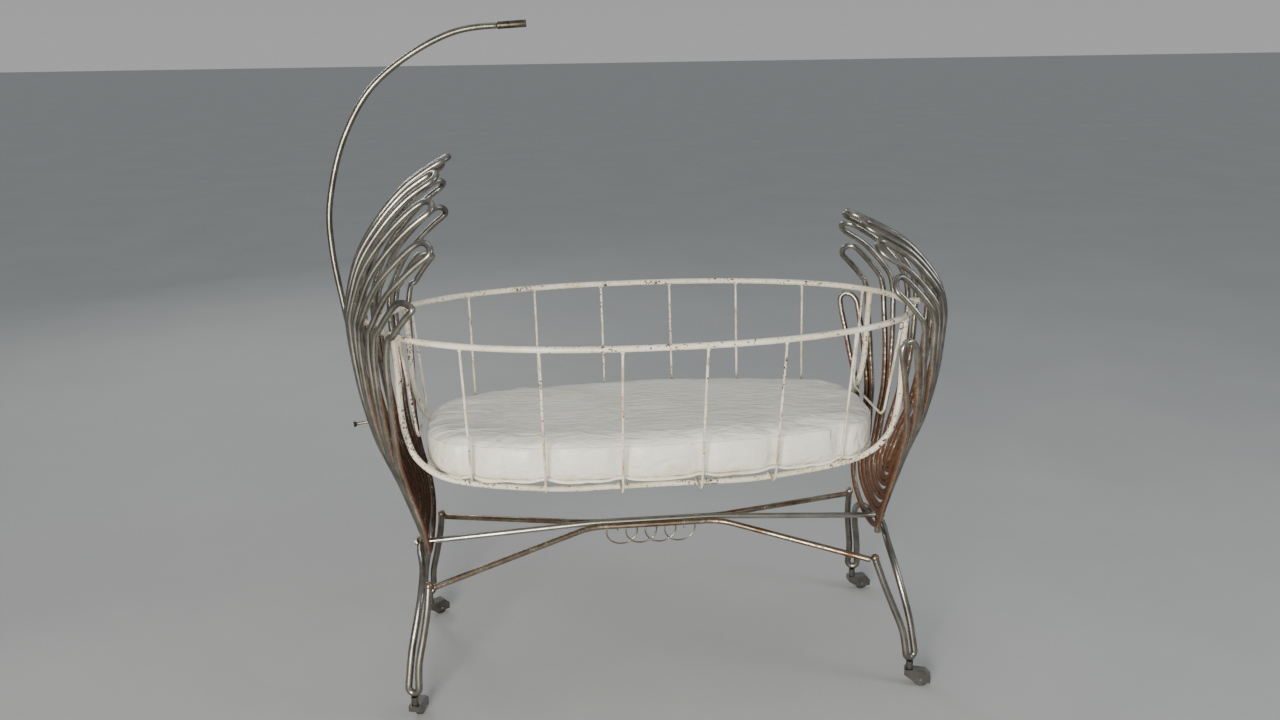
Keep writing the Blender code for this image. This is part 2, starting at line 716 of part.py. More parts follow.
def return_points(tag):
    """A leg's way back up from its hairpin bend, for the +X +Y corner."""
    points = []
    for x, y, share in RETURN:
        inward = RETURN_IN[tag] * (share / 0.93) ** 1.4
        points.append(BACK + Vector((x - inward, y, drop * share)))
    return points


for end, side in (("head", -1), ("foot", 1)):
    shoulder = [(stem_x[end], STEM_D / 2 + 0.0011, STRETCHER_H - 0.004),
                (stem_x[end] - 0.0010, 0.030, STRETCHER_H - 0.006),
                (LEG_REACH - 0.0185, LEG_SPREAD - 0.094, STRETCHER_H - 0.013),
                (LEG_REACH - 0.0170, LEG_SPREAD - 0.057, STRETCHER_H - drop * 0.21),
                (LEG_REACH - 0.0100, LEG_SPREAD - 0.034, STRETCHER_H - drop * 0.41),
                (LEG_REACH + 0.0010, LEG_SPREAD - 0.017, STRETCHER_H - drop * 0.69)]
    turn = []
    for k in range(1, 6):
        a = math.pi * k / 6
        turn.append((DOWN + BACK) / 2 + (DOWN - BACK) / 2 * math.cos(a)
                    - Vector((0, 0, LEG_BEND)) * math.sin(a))
    upper = spline([*[Vector(p) for p in shoulder], DOWN], 12)
    for label, sign in (("front", -1), ("rear", 1)):
        lower = spline([BACK, *return_points(f"{end}_{label}")], 7)
        line = [Vector((side * k.x, sign * k.y, k.z)) for k in (*upper, *turn, *lower)]
        leg = tube(f"leg_{end}_{label}", line, LEG_TUBE / 2, 2)
        finish(leg, CHROME, 0.35, 0.9)

    def stem_body(bm):
        rod_along(bm, (side * stem_x[end], 0, stem_low), (side * stem_x[end], 0, stem_top),
                  STEM_D / 2, 16)

    stem = solid_from(f"stem_{end}", stem_body)
    finish(stem, RUST, 0.7, 0.5)

    def bolt_body(bm):
        face = stem_x[end] + STEM_D / 2 + GAP
        rod_along(bm, (side * face, 0, STRETCHER_H), (side * (face + 0.001), 0, STRETCHER_H),
                  0.0065, 16)

    def bolt_hex(bm):
        face = stem_x[end] + STEM_D / 2 + GAP + 0.0005
        rod_along(bm, (side * face, 0, STRETCHER_H), (side * (face + 0.0040), 0, STRETCHER_H),
                  0.0050, 6)

    bolt = combine(solid_from(f"stretcher_bolt_{end}", bolt_body),
                   solid_from("hex", bolt_hex), "UNION")
    finish(bolt, (0.6, 0.6, 0.58), 0.3, 1.0)

# side stretchers: from one leg's top to the other's, pinched to the middle one
beside = STRETCHER + GAP
run_in = Vector((0.115, beside, mid_h - MID_RISE * 0.22))
for label, sign in (("front", -1), ("rear", 1)):
    line = []
    for end, side in (("head", -1), ("foot", 1)):
        upper = return_points(f"{end}_{label}")
        leg_way = (upper[-2] - upper[-1]).normalized()
        meet = upper[-1] + leg_way * 0.006
        way = (meet - run_in).normalized()
        slant = way.angle(leg_way)
        short = LEG_TUBE / 2 + GAP + STRETCHER / 2 * abs(math.cos(slant))
        half = [meet - way * short / math.sin(slant), run_in]
        line += [Vector((side * p.x, sign * p.y, p.z)) for p in half[::side * -1]]
    bar = tube(f"stretcher_{label}", rounded(line, 0.10, 4), STRETCHER / 2, 2)
    finish(bar, RUST, 0.7, 0.5)

# scroll: overlapping loops of thin wire under the middle of the stretchers
scroll = []
first = -math.radians(250.0)
last = math.radians(360.0 * (SCROLL_LOOPS - 1) + 250.0)
steps = 66
loop_mid = mid_h - STRETCHER / 2 - GAP - SCROLL_WIRE / 2 - SCROLL_R
for i in range(steps + 1):
    a = first + (last - first) * i / steps
    x = SCROLL_PITCH * (a / (2 * math.pi) - (SCROLL_LOOPS - 1) / 2) + SCROLL_R * math.sin(a)
    scroll.append(Vector((BASKET_X + x, 0.0022 * math.sin(a), loop_mid - SCROLL_R * math.cos(a))))
wire = tube("scroll_wire", scroll, SCROLL_WIRE / 2, 1)
finish(wire, (0.55, 0.52, 0.42), 0.4, 0.8)

# ---------------------------------------------------------------- casters
bend_low = LEG_FOOT_H - LEG_TUBE / 2
hood_top = WHEEL_D + HOOD_CLEAR + HOOD_WALL
hood_w = WHEEL_W + 2 * (HOOD_CLEAR + HOOD_WALL)
hood_front = -SLEEVE_D / 2 - 0.002
hood_low = WHEEL_D * 0.30    # lower edge of the hood above the floor
hood_nose = WHEEL_D * 0.74   # lower edge at the front
axle_h = WHEEL_D / 2


def hood_shape(bm, outset, floor):
    """The hood's side outline, drawn out across the wheel."""
    around = WHEEL_D / 2 + HOOD_CLEAR + HOOD_WALL + outset
    corner = around * math.tan(math.radians(22.5))
    left = hood_front - outset
    right = CASTER_TRAIL + around
    top = axle_h + around
    shape = [(left, top), (CASTER_TRAIL + corner, top), (right, axle_h + corner)]
    if floor:
        shape += [(right, -0.02), (left, -0.02)]
    else:
        shape += [(right, hood_low), (CASTER_TRAIL * 0.45, hood_low), (left, hood_nose)]
    half = hood_w / 2 + outset
    ring = [bm.verts.new((x, -half, z)) for x, z in shape]
    face = bm.faces.new(ring)
    new = bmesh.ops.extrude_face_region(bm, geom=[face])["geom"]
    moved = [g for g in new if isinstance(g, bmesh.types.BMVert)]
    bmesh.ops.translate(bm, verts=moved, vec=(0, 2 * half, 0))


def hood_outer(bm):
    hood_shape(bm, 0.0, False)


def hood_inner(bm):
    hood_shape(bm, -HOOD_WALL, True)


def hood_pin(bm):
    rod_along(bm, (0, 0, hood_top - HOOD_WALL * 0.6), (0, 0, bend_low - 0.0035),
              CASTER_PIN / 2, 16)


def axle_holes(bm):
    rod_along(bm, (CASTER_TRAIL, -0.03, axle_h), (CASTER_TRAIL, 0.03, axle_h),
              AXLE_D / 2 + GAP, 12)


def axle_body(bm):
    half = hood_w / 2 + 0.0010
    rod_along(bm, (CASTER_TRAIL, -half, axle_h), (CASTER_TRAIL, half, axle_h),
              AXLE_D / 2, 12)


def wheel_body(bm):
    rod_along(bm, (0, -WHEEL_W / 2, 0), (0, WHEEL_W / 2, 0), WHEEL_D / 2, 28)
    rims = [e for e in bm.edges if abs(e.verts[0].co.y - e.verts[1].co.y) < 1e-7]
    bmesh.ops.bevel(bm, geom=rims, offset=0.0016, segments=1, profile=0.5,
                    affect="EDGES")


def wheel_bore(bm):
    rod_along(bm, (0, -0.03, 0), (0, 0.03, 0), AXLE_D / 2 + PIN_CLEAR, 12)


for end, side in (("head", -1), ("foot", 1)):
    for label, sign in (("front", -1), ("rear", 1)):
        tag = f"{end}_{label}"
        at = (DOWN + BACK) / 2
        at = Vector((side * at.x, sign * at.y, 0.0))

        def sleeve_body(bm):
            rod_along(bm, at + Vector((0, 0, hood_top + GAP)),
                      at + Vector((0, 0, bend_low - GAP)), SLEEVE_D / 2, 16)

        def sleeve_bore(bm):
            rod_along(bm, at + Vector((0, 0, hood_top - 0.01)),
                      at + Vector((0, 0, bend_low - 0.0025)), CASTER_PIN / 2 + PIN_CLEAR,
                      16)

        sleeve = combine(solid_from(f"caster_{tag}_sleeve", sleeve_body),
                         solid_from("bore", sleeve_bore), "DIFFERENCE")
        finish(sleeve, (0.35, 0.35, 0.33), 0.45, 0.9)

        swivel = empty(f"caster_{tag}_swivel", at, None, math.radians(CASTER_TURN[tag]))
        hood = combine(solid_from(f"caster_{tag}_hood", hood_outer),
                       solid_from("inside", hood_inner), "DIFFERENCE")
        hood = combine(hood, solid_from("pin", hood_pin), "UNION")
        hood = combine(hood, solid_from("holes", axle_holes), "DIFFERENCE")
        finish(hood, (0.45, 0.45, 0.44), 0.4, 0.8)
        place_on(hood, swivel, (0, 0, 0))

        axle = solid_from(f"caster_{tag}_axle", axle_body)
        finish(axle, (0.4, 0.4, 0.4), 0.4, 1.0)
        place_on(axle, swivel, (0, 0, 0))

        roll = empty(f"caster_{tag}_roll", (CASTER_TRAIL, 0, axle_h), swivel)
        wheel = combine(solid_from(f"caster_{tag}_wheel", wheel_body),
                        solid_from("bore", wheel_bore), "DIFFERENCE")
        finish(wheel, (0.03, 0.03, 0.03), 0.6, 0.0)
        place_on(wheel, roll, (0, 0, 0))

# ---------------------------------------------------------------- origin
# the whole cradle stands with the middle of its length over the origin
bpy.context.view_layer.update()
ends = []
for item in parts.objects:
    if item.type != "EMPTY":
        ends += [(item.matrix_world @ Vector(c)).x for c in item.bound_box]
root.location.x = -(min(ends) + max(ends)) / 2
bpy.context.view_layer.update()
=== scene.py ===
import math

import bmesh
import bpy
from mathutils import Matrix, Vector, noise
from mathutils.bvhtree import BVHTree


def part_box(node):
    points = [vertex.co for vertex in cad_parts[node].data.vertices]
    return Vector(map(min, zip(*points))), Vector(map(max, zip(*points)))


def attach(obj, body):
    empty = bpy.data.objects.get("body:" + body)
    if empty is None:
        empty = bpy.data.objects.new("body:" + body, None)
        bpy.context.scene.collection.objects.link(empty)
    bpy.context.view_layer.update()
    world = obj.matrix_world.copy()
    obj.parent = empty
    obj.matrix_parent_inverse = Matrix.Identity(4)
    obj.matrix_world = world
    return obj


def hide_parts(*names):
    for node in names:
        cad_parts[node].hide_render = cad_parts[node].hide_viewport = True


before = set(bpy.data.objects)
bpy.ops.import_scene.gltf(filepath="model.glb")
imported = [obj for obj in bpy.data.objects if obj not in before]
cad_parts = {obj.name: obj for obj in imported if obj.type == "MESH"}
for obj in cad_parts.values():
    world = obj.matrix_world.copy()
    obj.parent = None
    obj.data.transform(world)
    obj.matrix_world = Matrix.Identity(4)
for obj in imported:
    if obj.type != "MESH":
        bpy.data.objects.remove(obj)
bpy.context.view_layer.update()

# ------------------------------------------------------------------ room
# A pale studio floor, soft light from large panels and a camera standing in front
# of the cradle, a little towards its head end and looking down on the basket.
CAMERA_AT = Vector((-0.1967, -1.758, 1.084))
CAMERA_LENS = 30.7
CAMERA_TURN = 0.105          # radians towards +X
CAMERA_TILT = 0.292          # radians below the horizon
CAMERA_ROLL = 0.013

scene = bpy.context.scene
ahead = Vector((math.sin(CAMERA_TURN) * math.cos(CAMERA_TILT),
                math.cos(CAMERA_TURN) * math.cos(CAMERA_TILT), -math.sin(CAMERA_TILT)))
across = Vector((math.cos(CAMERA_TURN), -math.sin(CAMERA_TURN), 0.0))
below = ahead.cross(across)
side_way = across * math.cos(CAMERA_ROLL) + below * math.sin(CAMERA_ROLL)
down_way = below * math.cos(CAMERA_ROLL) - across * math.sin(CAMERA_ROLL)
camera = bpy.data.objects.new("camera", bpy.data.cameras.new("camera"))
camera.data.lens = CAMERA_LENS
camera.data.clip_start = 0.05
camera.matrix_world = Matrix((
    (side_way.x, -down_way.x, -ahead.x, CAMERA_AT.x),
    (side_way.y, -down_way.y, -ahead.y, CAMERA_AT.y),
    (side_way.z, -down_way.z, -ahead.z, CAMERA_AT.z),
    (0, 0, 0, 1)))
scene.collection.objects.link(camera)
scene.camera = camera


def linear(code):
    """Linear colour with alpha from an sRGB hex code."""
    out = []
    for k in (1, 3, 5):
        v = int(code[k:k + 2], 16) / 255
        out.append(v / 12.92 if v <= 0.04045 else ((v + 0.055) / 1.055) ** 2.4)
    return (*out, 1.0)


def add(tree, kind, settings=None, links=None):
    """A node with its settings (options, or sockets by name or number) and links."""
    node = tree.nodes.new(kind)
    for key, value in (settings or {}).items():
        if key == "ramp":
            marks = node.color_ramp.elements
            while len(marks) < len(value):
                marks.new(1.0)
            for mark, (place, colour) in zip(marks, value):
                mark.position = place
                mark.color = colour
        elif isinstance(key, int) or key in node.inputs:
            node.inputs[key].default_value = value
        else:
            setattr(node, key, value)
    for key, source in (links or {}).items():
        tree.links.new(source, node.inputs[key])
    return node


def new_finish(name):
    """An empty material with a coordinate node; returns material, tree and coordinates."""
    made = bpy.data.materials.new(name)
    made.use_nodes = True
    tree = made.node_tree
    tree.nodes.clear()
    place = add(tree, "ShaderNodeTexCoord")
    return made, tree, place


def two_tone(name, grain, tones, base, rough=None, relief=None):
    """A finish that drifts between two tones with a fine noise.

    grain is the noise, tones two (place, colour), base the shader's own settings, rough
    (from, to, roughness there and there) and relief the bump's strength and distance.
    """
    made, tree, place = new_finish(name)
    cloud = add(tree, "ShaderNodeTexNoise", grain, {"Vector": place.outputs["Object"]})
    ramp = [(mark, linear(code)) for mark, code in tones]
    tone = add(tree, "ShaderNodeValToRGB", {"ramp": ramp}, {"Fac": cloud.outputs["Fac"]})
    links = {"Base Color": tone.outputs["Color"]}
    if rough:
        spread = add(tree, "ShaderNodeMapRange", dict(zip((1, 2, 3, 4), rough)),
                     {"Value": cloud.outputs["Fac"]})
        links["Roughness"] = spread.outputs["Result"]
    if relief:
        skin = add(tree, "ShaderNodeBump", {"Strength": relief[0],
                   "Distance": relief[1]}, {"Height": cloud.outputs["Fac"]})
        links["Normal"] = skin.outputs["Normal"]
    shell = add(tree, "ShaderNodeBsdfPrincipled", base, links)
    add(tree, "ShaderNodeOutputMaterial", None, {"Surface": shell.outputs["BSDF"]})
    return made


# poured floor: pale matt screed with faint cloudy mottling
floor_finish = two_tone("poured screed", {"Scale": 2.2, "Detail": 6.0, "Roughness": 0.6},
                        ((0.3, "#a2a3a1"), (0.75, "#a9aaa7")), {"Roughness": 0.8})

FLOOR_HALF = 40.0
floor_mesh = bpy.data.meshes.new("studio_floor")
floor_mesh.from_pydata([(-FLOOR_HALF, -FLOOR_HALF, 0), (FLOOR_HALF, -FLOOR_HALF, 0),
                        (FLOOR_HALF, FLOOR_HALF, 0), (-FLOOR_HALF, FLOOR_HALF, 0)],
                       [], [(0, 1, 2, 3)])
floor_mesh.materials.append(floor_finish)
floor = bpy.data.objects.new("studio_floor", floor_mesh)
scene.collection.objects.link(floor)

world = bpy.data.worlds.new("studio air")
world.use_nodes = True
scene.world = world
world.node_tree.nodes.clear()
look = add(world.node_tree, "ShaderNodeTexCoord")
rise = add(world.node_tree, "ShaderNodeSeparateXYZ", None,
           {"Vector": look.outputs["Generated"]})
air = add(world.node_tree, "ShaderNodeValToRGB",
          {"ramp": [(0.0, linear("#b9bab9")), (0.22, linear("#a6a8aa")),
                    (0.75, linear("#c3c8ce"))]}, {"Fac": rise.outputs["Z"]})
sky = add(world.node_tree, "ShaderNodeBackground", {"Strength": 0.85},
          {"Color": air.outputs["Color"]})
add(world.node_tree, "ShaderNodeOutputWorld", None,
    {"Surface": sky.outputs["Background"]})

PANELS = (("front panel", (-1.0, -2.9, 0.8), (0.0, 0.0, 0.45), 1.1, 140.0, "#fff9f0"),
          ("right panel", (2.6, -1.2, 1.5), (0.1, 0.0, 0.6), 0.9, 24.0, "#f2f5ff"),
          ("top panel", (0.2, 0.5, 3.2), (0.0, 0.0, 0.5), 2.0, 9.0, "#ffffff"),
          ("back strip", (-1.6, 2.6, 1.9), (0.0, 0.0, 0.7), 0.8, 18.0, "#ffffff"))
for name, where, aim, size, power, colour in PANELS:
    lamp = bpy.data.lights.new(name, "AREA")
    lamp.shape = "SQUARE"
    lamp.size = size
    lamp.energy = power
    lamp.color = linear(colour)[:3]
    panel = bpy.data.objects.new(name, lamp)
    panel.location = where
    look = Vector(aim) - Vector(where)
    panel.rotation_euler = look.to_track_quat("-Z", "Y").to_euler()
    scene.collection.objects.link(panel)

# ------------------------------------------------------------------ fans
# Each end is a fan of nine petals bent from 10 mm chromed steel tube. Every tube is one
# closed loop: up and over a petal on one side, down, through a bend nested in its
# neighbours' at the foot of the fan, and up again into the mirror petal.
GAP = 0.0003
RIM_H = 0.637
FAN_TUBE = 0.010
FAN_REACH = 0.4940
FAN_FOOT_X = 0.3925
SIDE_PETALS = 4
STRETCHER = 0.010
STRETCHER_H = 0.2405
PITCH = FAN_TUBE + GAP
BEND_CLEAR = 0.0045
INNER_LOW = STRETCHER_H + (STRETCHER + FAN_TUBE) / 2 + BEND_CLEAR
OUTER_LOW = STRETCHER_H - (STRETCHER + FAN_TUBE) / 2 - GAP - 0.001
PETAL_STEP = 0.010
TIP_STEPS = 20
TIP_TALL = 1.15
BEND_STEPS = 10

sleeves = [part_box(f"caster_{end}_front_sleeve") for end in ("head", "foot")]
middle = sum((low.x + high.x) / 2 for low, high in sleeves) / 2


def even(fine, count):
    """A dense line divided into count points of equal spacing."""
    far = [0.0]
    for p, q in zip(fine, fine[1:]):
        far.append(far[-1] + (q - p).length)
    out = []
    j = 0
    for i in range(count):
        want = far[-1] * i / (count - 1)
        while j < len(fine) - 2 and far[j + 1] < want:
            j += 1
        step = far[j + 1] - far[j]
        t = 0.0 if step < 1e-12 else (want - far[j]) / step
        out.append(fine[j].lerp(fine[j + 1], min(max(t, 0.0), 1.0)))
    return out


def spring_line(knots, count):
    """A smooth line through the knots, evenly divided."""
    knots = [Vector(k) for k in knots]
    run = [knots[0] * 2 - knots[1], *knots, knots[-1] * 2 - knots[-2]]
    fine = []
    for i in range(1, len(run) - 2):
        a, b, c, d = run[i - 1:i + 3]
        for k in range(24):
            t = k / 24
            fine.append(0.5 * (2 * b + (c - a) * t + (2 * a - 5 * b + 4 * c - d) * t * t
                               + (3 * b - a - 3 * c + d) * t ** 3))
    fine.append(knots[-1])
    return even(fine, count)


def between(marks, at):
    """Value at a place on a line of (place, value) marks."""
    if at <= marks[0][0]:
        return marks[0][1]
    for (a, left), (b, right) in zip(marks, marks[1:]):
        if at <= b:
            return left + (right - left) * (at - a) / (b - a)
    return marks[-1][1]


class Fan:
    """The curved sheet one fan's tubes lie on."""

    def __init__(self, side, rise, back, curl, tip_r, spread, tips):
        self.side = side
        self.curl = curl
        self.tip_r = tip_r
        self.spread = spread
        self.tips = tips
        low = RIM_H - OUTER_LOW
        knots = []
        for out, up in back:
            z = RIM_H + (up * rise if up > 0 else up * low)
            knots.append((FAN_FOOT_X + (FAN_REACH - FAN_FOOT_X) * out, 0.0, z))
        self.line = spring_line(knots, 400)
        self.step = (self.line[1] - self.line[0]).length
        self.length = self.step * 399
        self.rim_s = len([p for p in self.line if p.z <= RIM_H]) * self.step
        inner = min(range(400), key=lambda i: abs(self.line[i].z - INNER_LOW))
        self.u_s = inner * self.step
        for _ in range(12):
            self.u_s = inner * self.step + self.leg(2 * SIDE_PETALS, self.u_s)

    def width(self, s):
        """Distance between the middles of neighbouring petals at s."""
        near = total = 0.0
        for d in range(-4, 5):
            weight = 1 + math.cos(math.pi * d / 5)
            near += weight * between(self.spread, (s + d * 0.012) / self.length)
            total += weight
        return max(near / total, 2.15 * PITCH)

    def leg(self, number, s):
        """Distance of a leg from the fan's middle at s; legs count outwards."""
        step = self.width(s)
        growth = (self.width(s + 0.01) - self.width(s - 0.01)) / 0.02
        way = 1 if number % 2 else -1
        border = number // 2 + way / 2
        close = PITCH * math.hypot(1.0, border * growth)
        free = step - 2 * self.tip_r
        apart = max((close + free + math.hypot(close - free, 0.003)) / 2, close)
        return border * step - way * apart / 2

    def back(self, s):
        i = s / self.step
        if i <= 0:
            way = (self.line[1] - self.line[0]).normalized()
            return self.line[0] + way * s, way
        if i >= 398:
            way = (self.line[399] - self.line[398]).normalized()
            return self.line[399] + way * (s - self.length), way
        k = int(i)
        a = self.line[k].lerp(self.line[k + 1], i - k)
        span = self.line[min(k + 6, 399)] - self.line[max(k - 5, 0)]
        return a, span.normalized()

    def point(self, u, s):
        at, way = self.back(s)
        inward = Vector((-way.z, 0.0, way.x))
        swing = u / self.curl
        spot = at + inward * (self.curl * (1 - math.cos(swing)))
        return Vector((middle + self.side * spot.x, self.curl * math.sin(swing), spot.z))

    def petal(self, number):
        """One petal laid flat: up its inner leg, over the tip, down its outer leg."""
        high = self.tips[number] * self.length
        top = high - min(self.width(high) / 2, self.tip_r) * TIP_TALL
        count = max(3, int((top - self.u_s) / PETAL_STEP))
        rows = [self.u_s + (top - self.u_s) * k / count for k in range(count + 1)]
        first = -self.leg(1, rows[-1]) if number == 0 else self.leg(2 * number, rows[-1])
        last = self.leg(2 * number + 1, rows[-1])
        if number == 0:
            inner = [(-self.leg(1, s), s) for s in rows]
        else:
            inner = [(self.leg(2 * number, s), s) for s in rows]
        outer = [(self.leg(2 * number + 1, s), s) for s in rows]
        reach = (last - first) / 2
        lean = (self.width(top) - self.width(top - 0.02)) / 0.02 * number
        over = []
        for k in range(1, TIP_STEPS):
            a = math.pi * (1 - k / TIP_STEPS)
            up = reach * TIP_TALL * math.sin(a)
            over.append(((first + last) / 2 + reach * math.cos(a) + up * lean, top + up))
        return inner, over, outer

    def bend(self, number):
        """Half of the nested bend at the foot, from the middle outwards."""
        u = self.leg(number, self.u_s)
        stretch = self.u_s / u if number == 2 * SIDE_PETALS + 1 else 1.0
        turns = [math.pi / 2 * k / BEND_STEPS for k in range(BEND_STEPS)]
        return [(u * math.sin(a), self.u_s - stretch * u * math.cos(a)) for a in turns]

    def loop(self, number):
        """The whole closed tube of one petal and its mirror petal, in space."""
        inner, over, outer = self.petal(number)
        if number == 0:
            low = self.bend(1)
            flat = inner + over + outer[::-1] + low[::-1]
            flat += [(-u, s) for u, s in low[1:]]
        else:
            half = self.bend(2 * number) + inner + over + outer[::-1]
            half += self.bend(2 * number + 1)[::-1]
            flat = half + [(-u, s) for u, s in half[1:-1]][::-1]
        for _ in range(3):
            count = len(flat)
            flat = [((flat[i - 1][0] + 2 * u + flat[(i + 1) % count][0]) / 4,
                     (flat[i - 1][1] + 2 * s + flat[(i + 1) % count][1]) / 4)
                    for i, (u, s) in enumerate(flat)]
        return [self.point(u, s) for u, s in flat]


HEAD_BACK = ((0.00, -1.0), (0.18, -0.83), (0.43, -0.64), (0.71, -0.46), (0.89, -0.27),
             (0.98, -0.10), (1.01, 0.03), (0.99, 0.16), (0.78, 0.43), (0.42, 0.65),
             (0.02, 0.82), (-0.38, 0.93), (-0.72, 1.0))
FOOT_BACK = ((0.00, -1.0), (0.18, -0.83), (0.46, -0.62), (0.74, -0.45), (0.91, -0.26),
             (0.97, -0.10), (0.97, 0.04), (0.82, 0.32), (0.34, 0.67), (-0.16, 0.86),
             (-0.66, 1.0))
HEAD_SPREAD = ((0.19, 0.0245), (0.23, 0.0290), (0.34, 0.0385), (0.45, 0.0430),
               (0.56, 0.0455), (0.71, 0.0572), (0.87, 0.0665), (1.00, 0.0700))
FOOT_SPREAD = ((0.20, 0.0245), (0.24, 0.0300), (0.36, 0.0405), (0.48, 0.0480),
               (0.60, 0.0530), (0.76, 0.0545), (0.88, 0.0540), (1.00, 0.0470))
HEAD_TIPS = (0.998, 0.968, 0.936, 0.873, 0.713)
FOOT_TIPS = (0.998, 0.975, 0.945, 0.882, 0.593)
head_fan = Fan(-1, 0.264, HEAD_BACK, 0.240, 0.0155, HEAD_SPREAD, HEAD_TIPS)
foot_fan = Fan(1, 0.159, FOOT_BACK, 0.185, 0.0165, FOOT_SPREAD, FOOT_TIPS)

# tube bender: sweeps a round section along drawn lines, with its ends closed
bender = bpy.data.node_groups.new("tube bender", "GeometryNodeTree")
bender.interface.new_socket("Lines", in_out="INPUT", socket_type="NodeSocketGeometry")
bender.interface.new_socket("Radius", in_out="INPUT", socket_type="NodeSocketFloat")
bender.interface.new_socket("Sides", in_out="INPUT", socket_type="NodeSocketInt")
bender.interface.new_socket("Finish", in_out="INPUT", socket_type="NodeSocketMaterial")
bender.interface.new_socket("Tube", in_out="OUTPUT", socket_type="NodeSocketGeometry")
given = add(bender, "NodeGroupInput")
drawn = add(bender, "GeometryNodeMeshToCurve", None, {"Mesh": given.outputs["Lines"]})
run = add(bender, "GeometryNodeSplineParameter")
kept = add(bender, "GeometryNodeStoreNamedAttribute",
           {"Name": "along", "data_type": "FLOAT", "domain": "POINT"},
           {"Geometry": drawn.outputs["Curve"], "Value": run.outputs["Length"]})
thick = add(bender, "GeometryNodeInputNamedAttribute",
            {"data_type": "FLOAT", "Name": "thick"})
section = add(bender, "GeometryNodeCurvePrimitiveCircle", None,
              {"Resolution": given.outputs["Sides"], "Radius": given.outputs["Radius"]})
swept = add(bender, "GeometryNodeCurveToMesh", {"Fill Caps": True},
            {"Curve": kept.outputs["Geometry"], "Profile Curve": section.outputs["Curve"],
             "Scale": thick.outputs["Attribute"]})
soft = add(bender, "GeometryNodeSetShadeSmooth", None,
           {"Geometry": swept.outputs["Mesh"]})
whole = add(bender, "GeometryNodeRealizeInstances", None,
            {"Geometry": soft.outputs["Geometry"]})
dressed = add(bender, "GeometryNodeSetMaterial", None,
              {"Geometry": whole.outputs["Geometry"], "Material": given.outputs["Finish"]})
add(bender, "NodeGroupOutput", None, {"Tube": dressed.outputs["Geometry"]})


def made_by(tree, obj, values):
    """Run a tree on an object and keep the result as its plain mesh."""
    work = obj.modifiers.new("work", "NODES")
    work.node_group = tree
    for item in tree.interface.items_tree:
        if item.item_type == "SOCKET" and item.in_out == "INPUT" and item.name in values:
            work[item.identifier] = values[item.name]
    bpy.context.view_layer.update()
    ready = obj.evaluated_get(bpy.context.evaluated_depsgraph_get())
    plain = bpy.data.meshes.new_from_object(ready)
    obj.modifiers.clear()
    drawing = obj.data
    obj.data = plain
    plain.name = obj.name
    bpy.data.meshes.remove(drawing)
    return obj


def bend_tubes(name, runs, radius, sides, finish):
    """One object of tubes swept along (points, closed) runs."""
    points, edges, sizes = [], [], []
    for line, closed in runs:
        line = list(line)
        size = [1.0] * len(line)
        if not closed:
            head = (line[1] - line[0]).normalized()
            tail = (line[-2] - line[-1]).normalized()
            line = [line[0], line[0] + head * 0.0005, line[0] + head * 0.0014,
                    *line[1:-1],
                    line[-1] + tail * 0.0014, line[-1] + tail * 0.0005, line[-1]]
            size = [0.80, 0.95, 1.0] + [1.0] * (len(line) - 6) + [1.0, 0.95, 0.80]
        first = len(points)
        points += line
        sizes += size
        edges += [(first + i, first + i + 1) for i in range(len(line) - 1)]
        if closed:
            edges.append((first + len(line) - 1, first))
    mesh = bpy.data.meshes.new(name)
    mesh.from_pydata(points, edges, [])
    mesh.attributes.new("thick", "FLOAT", "POINT").data.foreach_set("value", sizes)
    obj = bpy.data.objects.new(name, mesh)
    scene.collection.objects.link(obj)
    return made_by(bender, obj, {"Radius": radius, "Sides": sides, "Finish": finish})


